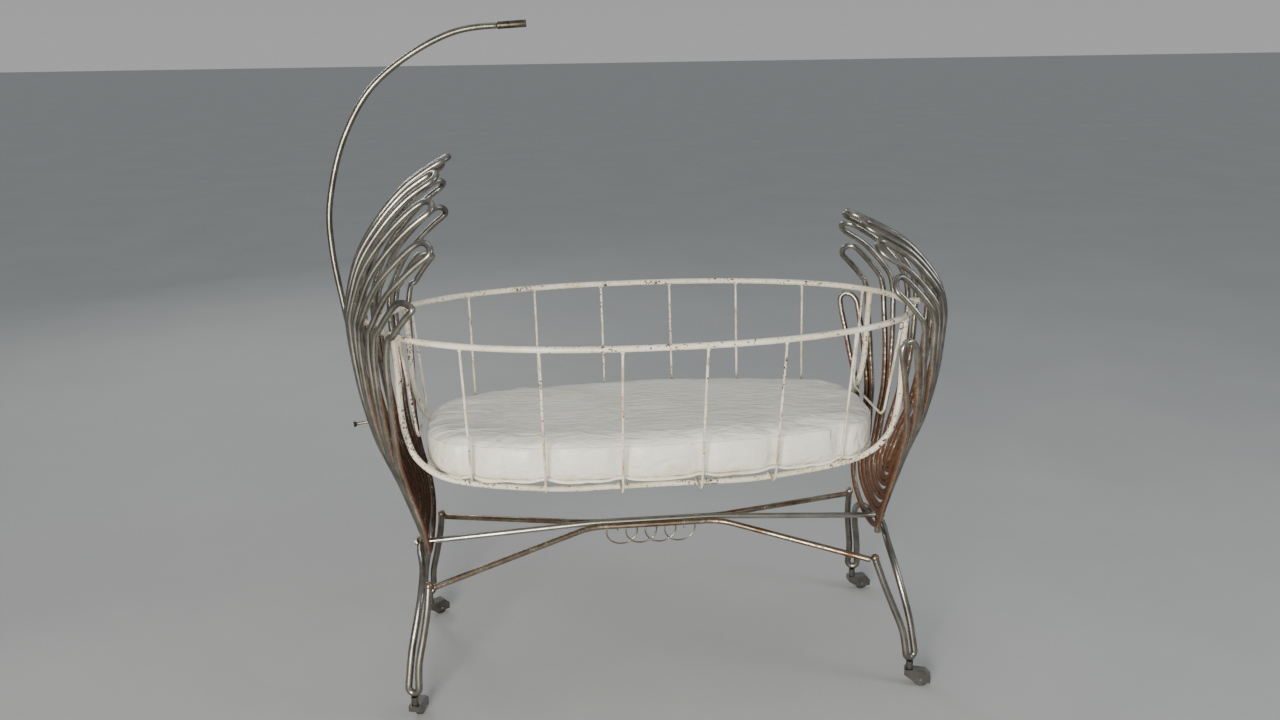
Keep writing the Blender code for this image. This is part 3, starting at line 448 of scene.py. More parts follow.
def old_plate(name, light, dark, rust, deep, ends):
    """Chrome plating gone dull: cloudy grey-brown film, specks and bloom of rust.

    light and dark are the two tones of the film, rust its specks, deep the solid rust.
    ends is (rust at the top, rust at the foot, extra on faces turned to the basket).
    """
    made, tree, place = new_finish(name)
    at = place.outputs["Object"]
    clouds = add(tree, "ShaderNodeTexNoise", {"Scale": 26.0, "Detail": 5.0,
                 "Roughness": 0.62}, {"Vector": at})
    film = add(tree, "ShaderNodeValToRGB",
               {"ramp": [(0.34, linear(dark)), (0.66, linear(light))]},
               {"Fac": clouds.outputs["Fac"]})
    spot = add(tree, "ShaderNodeSeparateXYZ", None, {"Vector": at})
    face = add(tree, "ShaderNodeSeparateXYZ", None, {"Vector": place.outputs["Normal"]})
    foot = add(tree, "ShaderNodeMapRange", {1: 0.66, 2: 0.26, 3: ends[0], 4: ends[1]},
               {"Value": spot.outputs["Z"]})
    turned = add(tree, "ShaderNodeMath", {"operation": "MULTIPLY"},
                 {0: spot.outputs["X"], 1: face.outputs["X"]})
    inner = add(tree, "ShaderNodeMapRange", {1: 0.10, 2: -0.30, 3: 0.0, 4: ends[2]},
                {"Value": turned.outputs["Value"]})
    fade = add(tree, "ShaderNodeMapRange", {1: 0.80, 2: 0.50, 3: 0.12, 4: 1.0},
               {"Value": spot.outputs["Z"]})
    inward = add(tree, "ShaderNodeMath", {"operation": "MULTIPLY"},
                 {0: inner.outputs["Result"], 1: fade.outputs["Result"]})
    share = add(tree, "ShaderNodeMath", {"operation": "ADD"},
                {0: foot.outputs["Result"], 1: inward.outputs["Value"]})
    grain = add(tree, "ShaderNodeTexNoise", {"Scale": 150.0, "Detail": 6.0,
                "Roughness": 0.7}, {"Vector": at})
    mixed = add(tree, "ShaderNodeMath", {"operation": "ADD"},
                {0: grain.outputs["Fac"], 1: share.outputs["Value"]})
    rusty = add(tree, "ShaderNodeMapRange", {1: 0.86, 2: 1.08, 3: 0.0, 4: 1.0},
                {"Value": mixed.outputs["Value"]})
    heavy = add(tree, "ShaderNodeMapRange", {1: 1.05, 2: 1.35, 3: 0.0, 4: 1.0},
                {"Value": mixed.outputs["Value"]})
    bloom = add(tree, "ShaderNodeMix", {"data_type": "RGBA", 6: linear(rust),
                7: linear(deep)}, {0: heavy.outputs["Result"]})
    colour = add(tree, "ShaderNodeMix", {"data_type": "RGBA"},
                 {0: rusty.outputs["Result"], 6: film.outputs["Color"],
                  7: bloom.outputs[2]})
    metal = add(tree, "ShaderNodeMapRange", {3: 1.0, 4: 0.18},
                {"Value": rusty.outputs["Result"]})
    matt = add(tree, "ShaderNodeMapRange", {3: 0.26, 4: 0.74},
               {"Value": rusty.outputs["Result"]})
    haze = add(tree, "ShaderNodeMapRange", {1: 0.35, 2: 0.70, 3: 0.12, 4: -0.04},
               {"Value": clouds.outputs["Fac"]})
    rough = add(tree, "ShaderNodeMath", {"operation": "ADD"},
                {0: matt.outputs["Result"], 1: haze.outputs["Result"]})
    relief = add(tree, "ShaderNodeMath", {"operation": "MULTIPLY"},
                 {0: grain.outputs["Fac"], 1: rusty.outputs["Result"]})
    skin = add(tree, "ShaderNodeBump", {"Strength": 0.35, "Distance": 0.0006},
               {"Height": relief.outputs["Value"]})
    shell = add(tree, "ShaderNodeBsdfPrincipled", None,
                {"Base Color": colour.outputs[2], "Metallic": metal.outputs["Result"],
                 "Roughness": rough.outputs["Value"], "Normal": skin.outputs["Normal"]})
    add(tree, "ShaderNodeOutputMaterial", None, {"Surface": shell.outputs["BSDF"]})
    return made


def fit(piece, body, slot, *nodes):
    """Hang a piece on its body, in place of the nodes that it stands for."""
    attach(piece, body)
    if nodes:
        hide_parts(*nodes)


fan_plate = old_plate("dulled chrome, fans", "#a09d92", "#64615a", "#6b4a32", "#4c2e1c",
                      (0.02, 0.30, 0.52))
for label, fan in (("head", head_fan), ("foot", foot_fan)):
    for number in range(SIDE_PETALS + 1):
        petal = bend_tubes(f"{label}_petal_tube_{number}", [(fan.loop(number), True)],
                           FAN_TUBE / 2, 14, fan_plate)
        fit(petal, "frame", "fan_chrome", f"{label}_petals_{number}")

# ------------------------------------------------------------------ basket
# An oval rim and two long rails of 10 mm steel tube with U-shaped ribs of 4 mm wire,
# welded together and enamelled white by hand more than once. The enamel has chipped
# to dark steel on the rim and rust runs down the ribs.
RIM_HALF_L = 0.443
RIM_HALF_W = 0.2205
RIM_POWER = 2.2
RIM_TUBE = 0.010
RAIL_TUBE = 0.010
RAIL_Y = 0.112
RAIL_DEPTH = 0.264
RIB_WIRE = 0.0042
RIB_X = (0.064, 0.187, 0.305)
RIB_LEAN = 0.985
RIB_CORNER = 0.022
END_RIB_X = 0.400
END_RIB_LOW_X = 0.384
END_RIB_HALF_W = 0.085
END_RIB_DEPTH = 0.175
BASE_HALF_L = 0.432
BASE_HALF_W = 0.170
BASE_POWER = 2.3

rim_low, rim_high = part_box("basket_rim")
swing = (rim_low + rim_high) / 2


def outline(x, half_l, half_w, power):
    """Half width at x of an oval of the given squareness."""
    return half_w * max(0.0, 1.0 - abs(x / half_l) ** power) ** (1.0 / power)


def rounded(corners, radius, count):
    """A line whose corners are rounded with one radius."""
    corners = [Vector(c) for c in corners]
    fine = [corners[0]]
    for before, at, after in zip(corners, corners[1:], corners[2:]):
        go_in = (before - at).normalized()
        go_out = (after - at).normalized()
        half = go_in.angle(go_out) / 2
        centre = at + (go_in + go_out).normalized() * (radius / math.sin(half))
        a = at + go_in * radius / math.tan(half) - centre
        b = at + go_out * radius / math.tan(half) - centre
        for k in range(count + 1):
            fine.append(centre + a.lerp(b, k / count).normalized() * radius)
    fine.append(corners[-1])
    return fine


def old_enamel(name, chips, streaks):
    """Thick white enamel, brushed on: yellowed, chipped to steel, with rust runs."""
    made, tree, place = new_finish(name)
    at = place.outputs["Object"]
    clouds = add(tree, "ShaderNodeTexNoise", {"Scale": 18.0, "Detail": 4.0},
                 {"Vector": at})
    coat = add(tree, "ShaderNodeValToRGB",
               {"ramp": [(0.30, linear("#c8c0a6")), (0.60, linear("#dbd6c4"))]},
               {"Fac": clouds.outputs["Fac"]})
    long_way = add(tree, "ShaderNodeMapping", {"Scale": (1.0, 1.0, 0.16)},
                   {"Vector": at})
    runs = add(tree, "ShaderNodeTexNoise", {"Scale": 120.0, "Detail": 5.0,
               "Roughness": 0.7}, {"Vector": long_way.outputs["Vector"]})
    stain = add(tree, "ShaderNodeMapRange", {1: 0.66 - streaks, 2: 0.78 - streaks * 0.6,
                3: 0.0, 4: 0.85}, {"Value": runs.outputs["Fac"]})
    stained = add(tree, "ShaderNodeMix", {"data_type": "RGBA", 7: linear("#8d6d4f")},
                  {0: stain.outputs["Result"], 6: coat.outputs["Color"]})
    patch = add(tree, "ShaderNodeTexNoise", {"Scale": 14.0, "Detail": 2.0},
                {"Vector": at})
    flakes = add(tree, "ShaderNodeTexNoise", {"Scale": 230.0, "Detail": 5.0,
                 "Roughness": 0.62, "Distortion": 0.4}, {"Vector": at})
    loose = add(tree, "ShaderNodeMath", {"operation": "MULTIPLY_ADD", 1: 0.42},
                {0: patch.outputs["Fac"], 2: flakes.outputs["Fac"]})
    halo = add(tree, "ShaderNodeMapRange", {1: 0.865 - chips, 2: 0.905 - chips,
               3: 0.0, 4: 0.8}, {"Value": loose.outputs["Value"]})
    chip = add(tree, "ShaderNodeMapRange", {1: 0.895 - chips, 2: 0.915 - chips,
               3: 0.0, 4: 1.0}, {"Value": loose.outputs["Value"]})
    ringed = add(tree, "ShaderNodeMix", {"data_type": "RGBA", 7: linear("#9b7554")},
                 {0: halo.outputs["Result"], 6: stained.outputs[2]})
    colour = add(tree, "ShaderNodeMix", {"data_type": "RGBA", 7: linear("#2f2720")},
                 {0: chip.outputs["Result"], 6: ringed.outputs[2]})
    rough = add(tree, "ShaderNodeMapRange", {3: 0.38, 4: 0.82},
                {"Value": halo.outputs["Result"]})
    level = add(tree, "ShaderNodeMath", {"operation": "SUBTRACT", 0: 1.0},
                {1: chip.outputs["Result"]})
    brushed = add(tree, "ShaderNodeMath", {"operation": "MULTIPLY_ADD", 1: 0.25},
                  {0: clouds.outputs["Fac"], 2: level.outputs["Value"]})
    skin = add(tree, "ShaderNodeBump", {"Strength": 0.5, "Distance": 0.0004},
               {"Height": brushed.outputs["Value"]})
    shell = add(tree, "ShaderNodeBsdfPrincipled", {"Coat Weight": 0.12,
                "Coat Roughness": 0.35},
                {"Base Color": colour.outputs[2], "Roughness": rough.outputs["Result"],
                 "Normal": skin.outputs["Normal"]})
    add(tree, "ShaderNodeOutputMaterial", None, {"Surface": shell.outputs["BSDF"]})
    return made


rim_enamel = old_enamel("brushed white enamel, rim", 0.072, 0.05)
rib_enamel = old_enamel("brushed white enamel, ribs", 0.060, 0.19)


RIM_STEPS = 180
rim_line = []
for i in range(RIM_STEPS):
    a = 2 * math.pi * i / RIM_STEPS
    c, s = math.cos(a), math.sin(a)
    rim_line.append(swing + Vector((
        math.copysign(abs(c) ** (2 / RIM_POWER), c) * RIM_HALF_L,
        math.copysign(abs(s) ** (2 / RIM_POWER), s) * RIM_HALF_W, 0.0)))
rim = bend_tubes("basket_rim_tube", [(rim_line, True)], RIM_TUBE / 2, 18, rim_enamel)
fit(rim, "basket", "white_enamel", "basket_rim")

join_x = RIM_HALF_L * 0.925
join_y = outline(join_x, RIM_HALF_L, RIM_HALF_W, RIM_POWER)
rail_start = RIM_TUBE / 2 + RAIL_TUBE * 0.12 + GAP
rail_half = [(join_x, join_y, -rail_start), (join_x - 0.002, join_y, -0.20 * RAIL_DEPTH),
             (join_x - 0.003, join_y + 0.003, -0.45 * RAIL_DEPTH),
             (join_x - 0.009, join_y + 0.006, -0.62 * RAIL_DEPTH),
             (join_x - 0.023, join_y + 0.010, -0.76 * RAIL_DEPTH),
             (join_x - 0.058, RAIL_Y - 0.004, -0.875 * RAIL_DEPTH),
             (join_x - 0.120, RAIL_Y - 0.001, -0.940 * RAIL_DEPTH),
             (join_x - 0.245, RAIL_Y, -0.996 * RAIL_DEPTH), (0.08, RAIL_Y, -RAIL_DEPTH),
             (0.0, RAIL_Y, -RAIL_DEPTH)]
rail_fine = spring_line(rail_half, 200)


def rail_depth(x):
    """Depth of the rails under the rim at x, along their lower run."""
    low = [p for p in rail_fine if p.z < -0.8 * RAIL_DEPTH]
    return -min(low, key=lambda p: abs(p.x - abs(x))).z


rails = []
for sign in (-1, 1):
    knots = [swing + Vector((k[0], sign * k[1], k[2])) for k in rail_half]
    knots += [swing + Vector((-k[0], sign * k[1], k[2])) for k in rail_half[-2::-1]]
    rails.append((spring_line(knots, 130), False))
rail_tubes = bend_tubes("basket_rail_tubes", rails, RAIL_TUBE / 2, 16, rim_enamel)
fit(rail_tubes, "basket", "white_enamel", "basket_rail_front", "basket_rail_rear")

rib_lift = RIB_WIRE / 2 + RAIL_TUBE / 2 + GAP
ribs = [(-x, -x * RIB_LEAN) for x in RIB_X[::-1]] + [(x, x * RIB_LEAN) for x in RIB_X]
ribs = [(-END_RIB_X, -END_RIB_LOW_X)] + ribs + [(END_RIB_X, END_RIB_LOW_X)]
rib_lines = []
weld_spots = []
for x, low_x in ribs:
    top_w = outline(x, RIM_HALF_L, RIM_HALF_W, RIM_POWER)
    low_w = outline(low_x, BASE_HALF_L, BASE_HALF_W, BASE_POWER)
    depth = rail_depth(low_x) - rib_lift - 0.0006
    if abs(x) == END_RIB_X:
        low_w = END_RIB_HALF_W
        depth = END_RIB_DEPTH
    else:
        weld_spots += [(swing + Vector((low_x, y, -depth - RIB_WIRE * 0.6)), 0.0026)
                       for y in (-RAIL_Y, RAIL_Y)]
    start = -(RIM_TUBE / 2 + RIB_WIRE * 0.12 + GAP)
    corners = [(x, -top_w, start), (low_x, -low_w, -depth),
               (low_x, low_w, -depth), (x, top_w, start)]
    line = [swing + p for p in rounded(corners, RIB_CORNER, 12)]
    rib_lines.append((line, False))
    weld_spots += [(swing + Vector((x, y, start + 0.0002)), 0.0033)
                   for y in (-top_w, top_w)]
weld_spots += [(swing + Vector((x, y, -rail_start + 0.0005)), 0.0060)
               for x in (-join_x, join_x) for y in (-join_y, join_y)]
rib_wires = bend_tubes("basket_rib_wires", rib_lines, RIB_WIRE / 2, 12, rib_enamel)
fit(rib_wires, "basket", "white_enamel", *[f"basket_rib_{k}" for k in range(1, 9)])

# weld beads: a lump of filler at each joint, uneven from the rod
beads = bpy.data.node_groups.new("weld beads", "GeometryNodeTree")
beads.interface.new_socket("Spots", in_out="INPUT", socket_type="NodeSocketGeometry")
beads.interface.new_socket("Lumpiness", in_out="INPUT", socket_type="NodeSocketFloat")
beads.interface.new_socket("Finish", in_out="INPUT", socket_type="NodeSocketMaterial")
beads.interface.new_socket("Beads", in_out="OUTPUT", socket_type="NodeSocketGeometry")
given = add(beads, "NodeGroupInput")
dots = add(beads, "GeometryNodeMeshToPoints", None, {"Mesh": given.outputs["Spots"]})
size = add(beads, "GeometryNodeInputNamedAttribute", {"data_type": "FLOAT",
           "Name": "size"})
drop_ball = add(beads, "GeometryNodeMeshIcoSphere", {"Radius": 1.0, "Subdivisions": 3})
laid = add(beads, "GeometryNodeInstanceOnPoints", None,
           {"Points": dots.outputs["Points"], "Instance": drop_ball.outputs["Mesh"],
            "Scale": size.outputs["Attribute"]})
whole = add(beads, "GeometryNodeRealizeInstances", None,
            {"Geometry": laid.outputs["Instances"]})
spot = add(beads, "GeometryNodeInputPosition")
swirl = add(beads, "ShaderNodeTexNoise", {"Scale": 380.0, "Detail": 2.0},
            {"Vector": spot.outputs["Position"]})
centred = add(beads, "ShaderNodeVectorMath", {"operation": "SUBTRACT",
              1: (0.5, 0.5, 0.5)}, {0: swirl.outputs["Color"]})
pushed = add(beads, "ShaderNodeVectorMath", {"operation": "SCALE"},
             {0: centred.outputs["Vector"], "Scale": given.outputs["Lumpiness"]})
uneven = add(beads, "GeometryNodeSetPosition", None,
             {"Geometry": whole.outputs["Geometry"], "Offset": pushed.outputs["Vector"]})
soft = add(beads, "GeometryNodeSetShadeSmooth", None,
           {"Geometry": uneven.outputs["Geometry"]})
dressed = add(beads, "GeometryNodeSetMaterial", None,
              {"Geometry": soft.outputs["Geometry"], "Material": given.outputs["Finish"]})
add(beads, "NodeGroupOutput", None, {"Beads": dressed.outputs["Geometry"]})


def weld(name, spots, lumpiness, finish):
    mesh = bpy.data.meshes.new(name)
    mesh.from_pydata([p for p, _ in spots], [], [])
    values = [r for _, r in spots]
    mesh.attributes.new("size", "FLOAT", "POINT").data.foreach_set("value", values)
    obj = bpy.data.objects.new(name, mesh)
    scene.collection.objects.link(obj)
    return made_by(beads, obj, {"Lumpiness": lumpiness, "Finish": finish})


basket_welds = weld("basket_weld_beads", weld_spots, 0.0016, rib_enamel)
fit(basket_welds, "basket", "white_enamel")

# ------------------------------------------------------------------ mattress
# A foam slab in a sewn cover of white vinyl, pressed into the ribs so that its side
# swells between them. The top seam is turned inside; the bottom seam's raw edge
# hangs out below. The vinyl is greyish white, smooth, and stained yellow in places.
pad_low, pad_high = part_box("mattress")
PAD_T = pad_high.z - pad_low.z
PAD_HALF_L = (pad_high.x - pad_low.x) / 2
PAD_TUCK = 0.0035            # the cover starts this much inside its final size
PAD_SWELL = 0.0060           # most that a point may move as the foam fills it

vinyl, tree, place = new_finish("white vinyl cover")
at = place.outputs["Object"]
clouds = add(tree, "ShaderNodeTexNoise", {"Scale": 9.0, "Detail": 5.0, "Roughness": 0.6},
             {"Vector": at})
tone = add(tree, "ShaderNodeValToRGB",
           {"ramp": [(0.30, linear("#d5d2c3")), (0.62, linear("#e2e0d3"))]},
           {"Fac": clouds.outputs["Fac"]})
spot = add(tree, "ShaderNodeSeparateXYZ", None, {"Vector": at})
lower = add(tree, "ShaderNodeMapRange", {1: pad_high.z - 0.005, 2: pad_low.z, 3: -0.10,
            4: 0.16}, {"Value": spot.outputs["Z"]})
blot = add(tree, "ShaderNodeTexNoise", {"Scale": 17.0, "Detail": 6.0, "Roughness": 0.68},
           {"Vector": at})
wet = add(tree, "ShaderNodeMath", {"operation": "ADD"},
          {0: blot.outputs["Fac"], 1: lower.outputs["Result"]})
stain = add(tree, "ShaderNodeMapRange", {1: 0.60, 2: 0.86, 3: 0.0, 4: 0.75},
            {"Value": wet.outputs["Value"]})
colour = add(tree, "ShaderNodeMix", {"data_type": "RGBA", 7: linear("#bdaf86")},
             {0: stain.outputs["Result"], 6: tone.outputs["Color"]})
drawn_way = add(tree, "ShaderNodeMapping", {"Scale": (1.0, 2.6, 1.6)}, {"Vector": at})
creases = add(tree, "ShaderNodeTexNoise", {"Scale": 21.0, "Detail": 3.0,
              "Roughness": 0.5, "Distortion": 1.2},
              {"Vector": drawn_way.outputs["Vector"]})
fine = add(tree, "ShaderNodeTexNoise", {"Scale": 900.0, "Detail": 2.0}, {"Vector": at})
both = add(tree, "ShaderNodeMath", {"operation": "MULTIPLY_ADD", 1: 0.04},
           {0: fine.outputs["Fac"], 2: creases.outputs["Fac"]})
skin = add(tree, "ShaderNodeBump", {"Strength": 0.75, "Distance": 0.0060},
           {"Height": both.outputs["Value"]})
shell = add(tree, "ShaderNodeBsdfPrincipled", {"Roughness": 0.44, "Coat Weight": 0.15,
            "Coat Roughness": 0.3}, {"Base Color": colour.outputs[2],
            "Normal": skin.outputs["Normal"]})
add(tree, "ShaderNodeOutputMaterial", None, {"Surface": shell.outputs["BSDF"]})


def pad_half_w(x):
    """Half width of the pad at x from the swing's middle, at mid height."""
    x = min(abs(x), PAD_HALF_L * 0.9999)
    limit = outline(x, BASE_HALF_L, BASE_HALF_W, BASE_POWER) - RIB_WIRE / 2 - 0.0035
    c = (x / PAD_HALF_L) ** (1 / 0.70)
    s = math.sqrt(max(0.0, 1 - c * c))
    return min(s ** 0.70 * BASE_HALF_W, limit)


PAD_RING = 96
ring = []
for i in range(PAD_RING):
    a = 2 * math.pi * (i + 0.5) / PAD_RING
    x = math.copysign(abs(math.cos(a)) ** 0.70, math.cos(a)) * PAD_HALF_L
    ring.append(Vector((x, math.copysign(pad_half_w(x), math.sin(a)), 0.0)))
body = bmesh.new()
face = body.faces.new([body.verts.new(swing + Vector((
    p.x * (1 - PAD_TUCK / PAD_HALF_L), p.y * (1 - PAD_TUCK / BASE_HALF_W),
    pad_low.z + PAD_TUCK * 0.5 - swing.z))) for p in ring])
raised = bmesh.ops.extrude_face_region(body, geom=[face])["geom"]
tops = [g for g in raised if isinstance(g, bmesh.types.BMVert)]
bmesh.ops.translate(body, verts=tops, vec=(0, 0, PAD_T - PAD_TUCK))
bmesh.ops.recalc_face_normals(body, faces=body.faces)
flat_edges = [e for e in body.edges
              if abs(e.verts[0].co.z - e.verts[1].co.z) < 1e-6]
bmesh.ops.bevel(body, geom=flat_edges, offset=0.010, segments=4, profile=0.5,
                affect="EDGES")


def from_shape(name, shape, finish=None):
    """An object of a finished bmesh, smooth and dressed where a finish is given."""
    mesh = bpy.data.meshes.new(name)
    shape.to_mesh(mesh)
    shape.free()
    if finish:
        mesh.materials.append(finish)
        for polygon in mesh.polygons:
            polygon.use_smooth = True
    made = bpy.data.objects.new(name, mesh)
    scene.collection.objects.link(made)
    return made


pad = from_shape("mattress_pad", body)


def settle(obj, kind, name, **options):
    """Apply one modifier to an object's mesh."""
    step = obj.modifiers.new(name, kind)
    for key, value in options.items():
        setattr(step, key, value)
    ready = obj.evaluated_get(bpy.context.evaluated_depsgraph_get())
    new = bpy.data.meshes.new_from_object(ready)
    obj.modifiers.clear()
    old = obj.data
    obj.data = new
    bpy.data.meshes.remove(old)


settle(pad, "REMESH", "even cloth", mode="VOXEL", voxel_size=0.006)
before = [v.co.copy() for v in pad.data.vertices]
cloth = pad.modifiers.new("filling", "CLOTH")
cloth.settings.use_pressure = True
cloth.settings.uniform_pressure_force = 4.0
cloth.settings.effector_weights.gravity = 0.0
cloth.settings.quality = 5
cloth.point_cache.frame_start = 1
cloth.point_cache.frame_end = 20
scene.frame_start = 1
scene.frame_end = 20
for step in range(1, 21):
    scene.frame_set(step)
ready = pad.evaluated_get(bpy.context.evaluated_depsgraph_get())
after = [v.co.copy() for v in ready.data.vertices]
pad.modifiers.clear()
scene.frame_set(1)
for vert, old, new in zip(pad.data.vertices, before, after):
    move = new - old
    if move.length > PAD_SWELL:
        move *= PAD_SWELL / move.length
    vert.co = old + move
settle(pad, "SUBSURF", "soft cover", levels=1, render_levels=1)

# the filling draws the cover in at its ends, so it is stretched back to its cut size
low = Vector([min(v.co[k] for v in pad.data.vertices) for k in range(3)])
high = Vector([max(v.co[k] for v in pad.data.vertices) for k in range(3)])
PAD_HALF_W = (pad_high.y - pad_low.y) / 2
for vert in pad.data.vertices:
    vert.co.x = swing.x + (vert.co.x - (low.x + high.x) / 2) \
        * 2 * (PAD_HALF_L - 0.0002) / (high.x - low.x)
    vert.co.y = (vert.co.y - (low.y + high.y) / 2) * 2 * PAD_HALF_W / (high.y - low.y)

# the cover is held in at every rib and at the top seam, and rumples near its ends
RIB_DENT = 0.0060
SIDE_SWELL = 0.0048
END_FOLD = 0.0048
TOP_SLACK = 0.0030
TOP_CROWN = 0.002
SIDE_RIBS = [x * RIB_LEAN for x in RIB_X]
for vert in pad.data.vertices:
    p = vert.co - swing
    height = (vert.co.z - pad_low.z) / PAD_T
    edge = pad_half_w(p.x)
    from_side = edge - abs(p.y)
    near_side = max(0.0, 1 - max(from_side, 0.0) / 0.030)
    nearest = min(abs(abs(p.x) - x) for x in SIDE_RIBS)
    hold = math.exp(-(nearest / 0.017) ** 2)
    mid = math.sin(math.pi * min(max(height, 0.0), 1.0))
    sign = math.copysign(1.0, p.y)
    p.y -= sign * near_side * hold * RIB_DENT
    p.y += sign * near_side * (1 - hold) * mid * SIDE_SWELL
    end = max(0.0, (abs(p.x) / PAD_HALF_L - 0.62) / 0.38)
    fold = noise.noise(Vector((p.x * 13, p.y * 48, height * 1.5)))
    fold += 0.5 * noise.noise(Vector((p.x * 30, p.y * 95, height * 3.0)))
    slack = noise.noise(Vector((p.x * 8, p.y * 11, 3.0)))
    top = min(max((height - 0.75) * 4, 0.0), 1.0)
    p.z += top * (END_FOLD * fold * end + TOP_SLACK * slack)
    pull = noise.noise(Vector((p.x * 42, 7.0, height * 2.2)))
    p.y += sign * near_side * pull * 0.0009 * (0.4 + hold)
    crown = max(0.0, 1 - (abs(p.y) / BASE_HALF_W) ** 2) * (1 - (p.x / PAD_HALF_L) ** 2)
    p.z += top * crown * TOP_CROWN
    low_cap = pad_low.z - swing.z + 0.0004
    high_cap = pad_high.z - swing.z + 0.006
    p.z = min(max(p.z, low_cap), high_cap)
    limit = edge + 0.0058 * (1 - hold) - 0.0012
    if abs(p.y) > limit:
        p.y = sign * limit
    if abs(p.x) > PAD_HALF_L:
        p.x = math.copysign(PAD_HALF_L, p.x)
    vert.co = swing + p
for polygon in pad.data.polygons:
    polygon.use_smooth = True
pad.data.materials.clear()
pad.data.materials.append(vinyl)
fit(pad, "basket", "white_vinyl", "mattress")

# seams: a turned welt along the top edge, and the raw wavy edge of the bottom seam
cover = BVHTree.FromPolygons([v.co for v in pad.data.vertices],
                             [p.vertices for p in pad.data.polygons])
welt_line = []
WELT_STEPS = 260
for i in range(WELT_STEPS):
    a = 2 * math.pi * i / WELT_STEPS
    x = math.copysign(abs(math.cos(a)) ** 0.70, math.cos(a)) * (PAD_HALF_L - 0.0045)
    nearest = min(abs(abs(x) - r) for r in SIDE_RIBS)
    tuck = 0.0030 * math.exp(-(nearest / 0.017) ** 2) + 0.0030
    y = math.copysign(max(pad_half_w(x) - tuck, 0.0), math.sin(a))
    lift = 0.0010 * noise.noise(Vector((x * 20, y * 9, 1.0)))
    near = cover.find_nearest(swing + Vector((x, y, pad_high.z - 0.0095 - swing.z
                                              + lift)))
    welt_line.append(near[0] + near[1] * 0.0003)
welt = bend_tubes("mattress_top_welt", [(welt_line, True)], 0.0010, 8, vinyl)
fit(welt, "basket", "white_vinyl")

hem = bmesh.new()
rows = []
for i in range(WELT_STEPS):
    a = 2 * math.pi * i / WELT_STEPS
    x = math.copysign(abs(math.cos(a)) ** 0.70, math.cos(a)) * (PAD_HALF_L - 0.006)
    y = math.copysign(max(pad_half_w(x) - 0.0075, 0.0), math.sin(a))
    out = Vector((x * 0.25, y, 0.0)).normalized()
    wave = noise.noise(Vector((x * 60, y * 25, 5.0)))
    droop = 0.004 + 0.003 * noise.noise(Vector((x * 35, y * 35, 9.0)))
    root = cover.find_nearest(swing + Vector((x, y, pad_low.z + 0.0080 - swing.z)))[0]
    edge_spot = root + out * (0.0050 + 0.0016 * wave) + Vector((0, 0, -droop))
    halfway = root.lerp(edge_spot, 0.5) + Vector((0, 0, 0.0008))
    rows.append([hem.verts.new(root), hem.verts.new(halfway), hem.verts.new(edge_spot)])
for i in range(WELT_STEPS):
    for k in range(2):
        near, far = rows[i], rows[(i + 1) % WELT_STEPS]
        hem.faces.new((near[k], near[k + 1], far[k + 1], far[k]))
bmesh.ops.recalc_face_normals(hem, faces=hem.faces)
hem_piece = from_shape("mattress_bottom_seam", hem, vinyl)
settle(hem_piece, "SOLIDIFY", "two thicknesses", thickness=0.0010, offset=0.0)
fit(hem_piece, "basket", "white_vinyl")

# ------------------------------------------------------------------ pivots
# At each end of the rim a short bush is welded on and turns on a bright bolt, which a
# small steel plate holds across the fan's two middle legs.
# scuffed zinc: bright, slightly cloudy, so the bolt heads catch the light
bolt_steel = two_tone("zinc plated bolt steel", {"Scale": 320.0, "Detail": 4.0},
                      ((0.32, "#8f8b82"), (0.60, "#c4c3be")), {"Metallic": 1.0},
                      rough=(0.3, 0.7, 0.42, 0.22))


def dress(node, finish):
    """Give a carried-over node of the frame a better material on its own slots."""
    for held in bpy.data.objects[node].material_slots:
        held.material = finish


for label in ("head", "foot"):
    dress(f"pivot_plate_{label}", fan_plate)
    dress(f"pivot_pin_{label}", bolt_steel)
    dress(f"basket_bush_{label}", rim_enamel)

# ------------------------------------------------------------------ canopy rod
# A 9.5 mm steel rod stands in a socket tube, leans out and crooks back over the
# basket. Its tip wears a darker sleeve; a small screw pinches it in the socket.
ROD_D = 0.0095
ROD_LEAN = math.radians(8.5)
ROD_ENTRY = 0.022
ROD_REACH = 0.5015
ROD_RISE = 0.440
ROD_CROOK = 0.312
FERRULE_L = 0.045
FERRULE_D = 0.0112
SOCKET_L = 0.150
SOCKET_DROP = 0.110
CROOK = ((-0.035, 0.225), (-0.022, 0.405), (0.080, 0.632), (0.272, 0.823),
         (0.625, 0.970), (1.0, 1.0))

lean = Vector((-math.sin(ROD_LEAN), 0.0, math.cos(ROD_LEAN)))
rod_entry = Vector((middle - ROD_REACH, 0.0, RIM_H + ROD_ENTRY))
socket_mid = rod_entry - lean * ((ROD_ENTRY + SOCKET_DROP) / lean.z)
socket_low = socket_mid - lean * (SOCKET_L / 2)
rod_foot = socket_low + lean * 0.006
shank = rod_entry - rod_foot
knots = [rod_foot + shank * k for k in (0.0, 0.35, 0.7, 1.0)]
knots += [rod_entry + Vector((x * ROD_CROOK, 0.0, z * ROD_RISE)) for x, z in CROOK]
rod_whole = spring_line(knots, 400)
far = 0
length = 0.0
while length < FERRULE_L:
    far += 1
    length += (rod_whole[-far] - rod_whole[-far - 1]).length
rod_plate = old_plate("dulled chrome, rod", "#8b887c", "#5b594c", "#705239", "#4c2e1c",
                      (0.03, 0.10, 0.0))
rod = bend_tubes("canopy_rod_tube", [(even(rod_whole[:-far], 120), False)], ROD_D / 2,
                 18, rod_plate)
fit(rod, "canopy_rod", "rod_chrome", "canopy_rod")
tip = rod_whole[-far - 1]
tip_way = (rod_whole[-1] - tip).normalized()

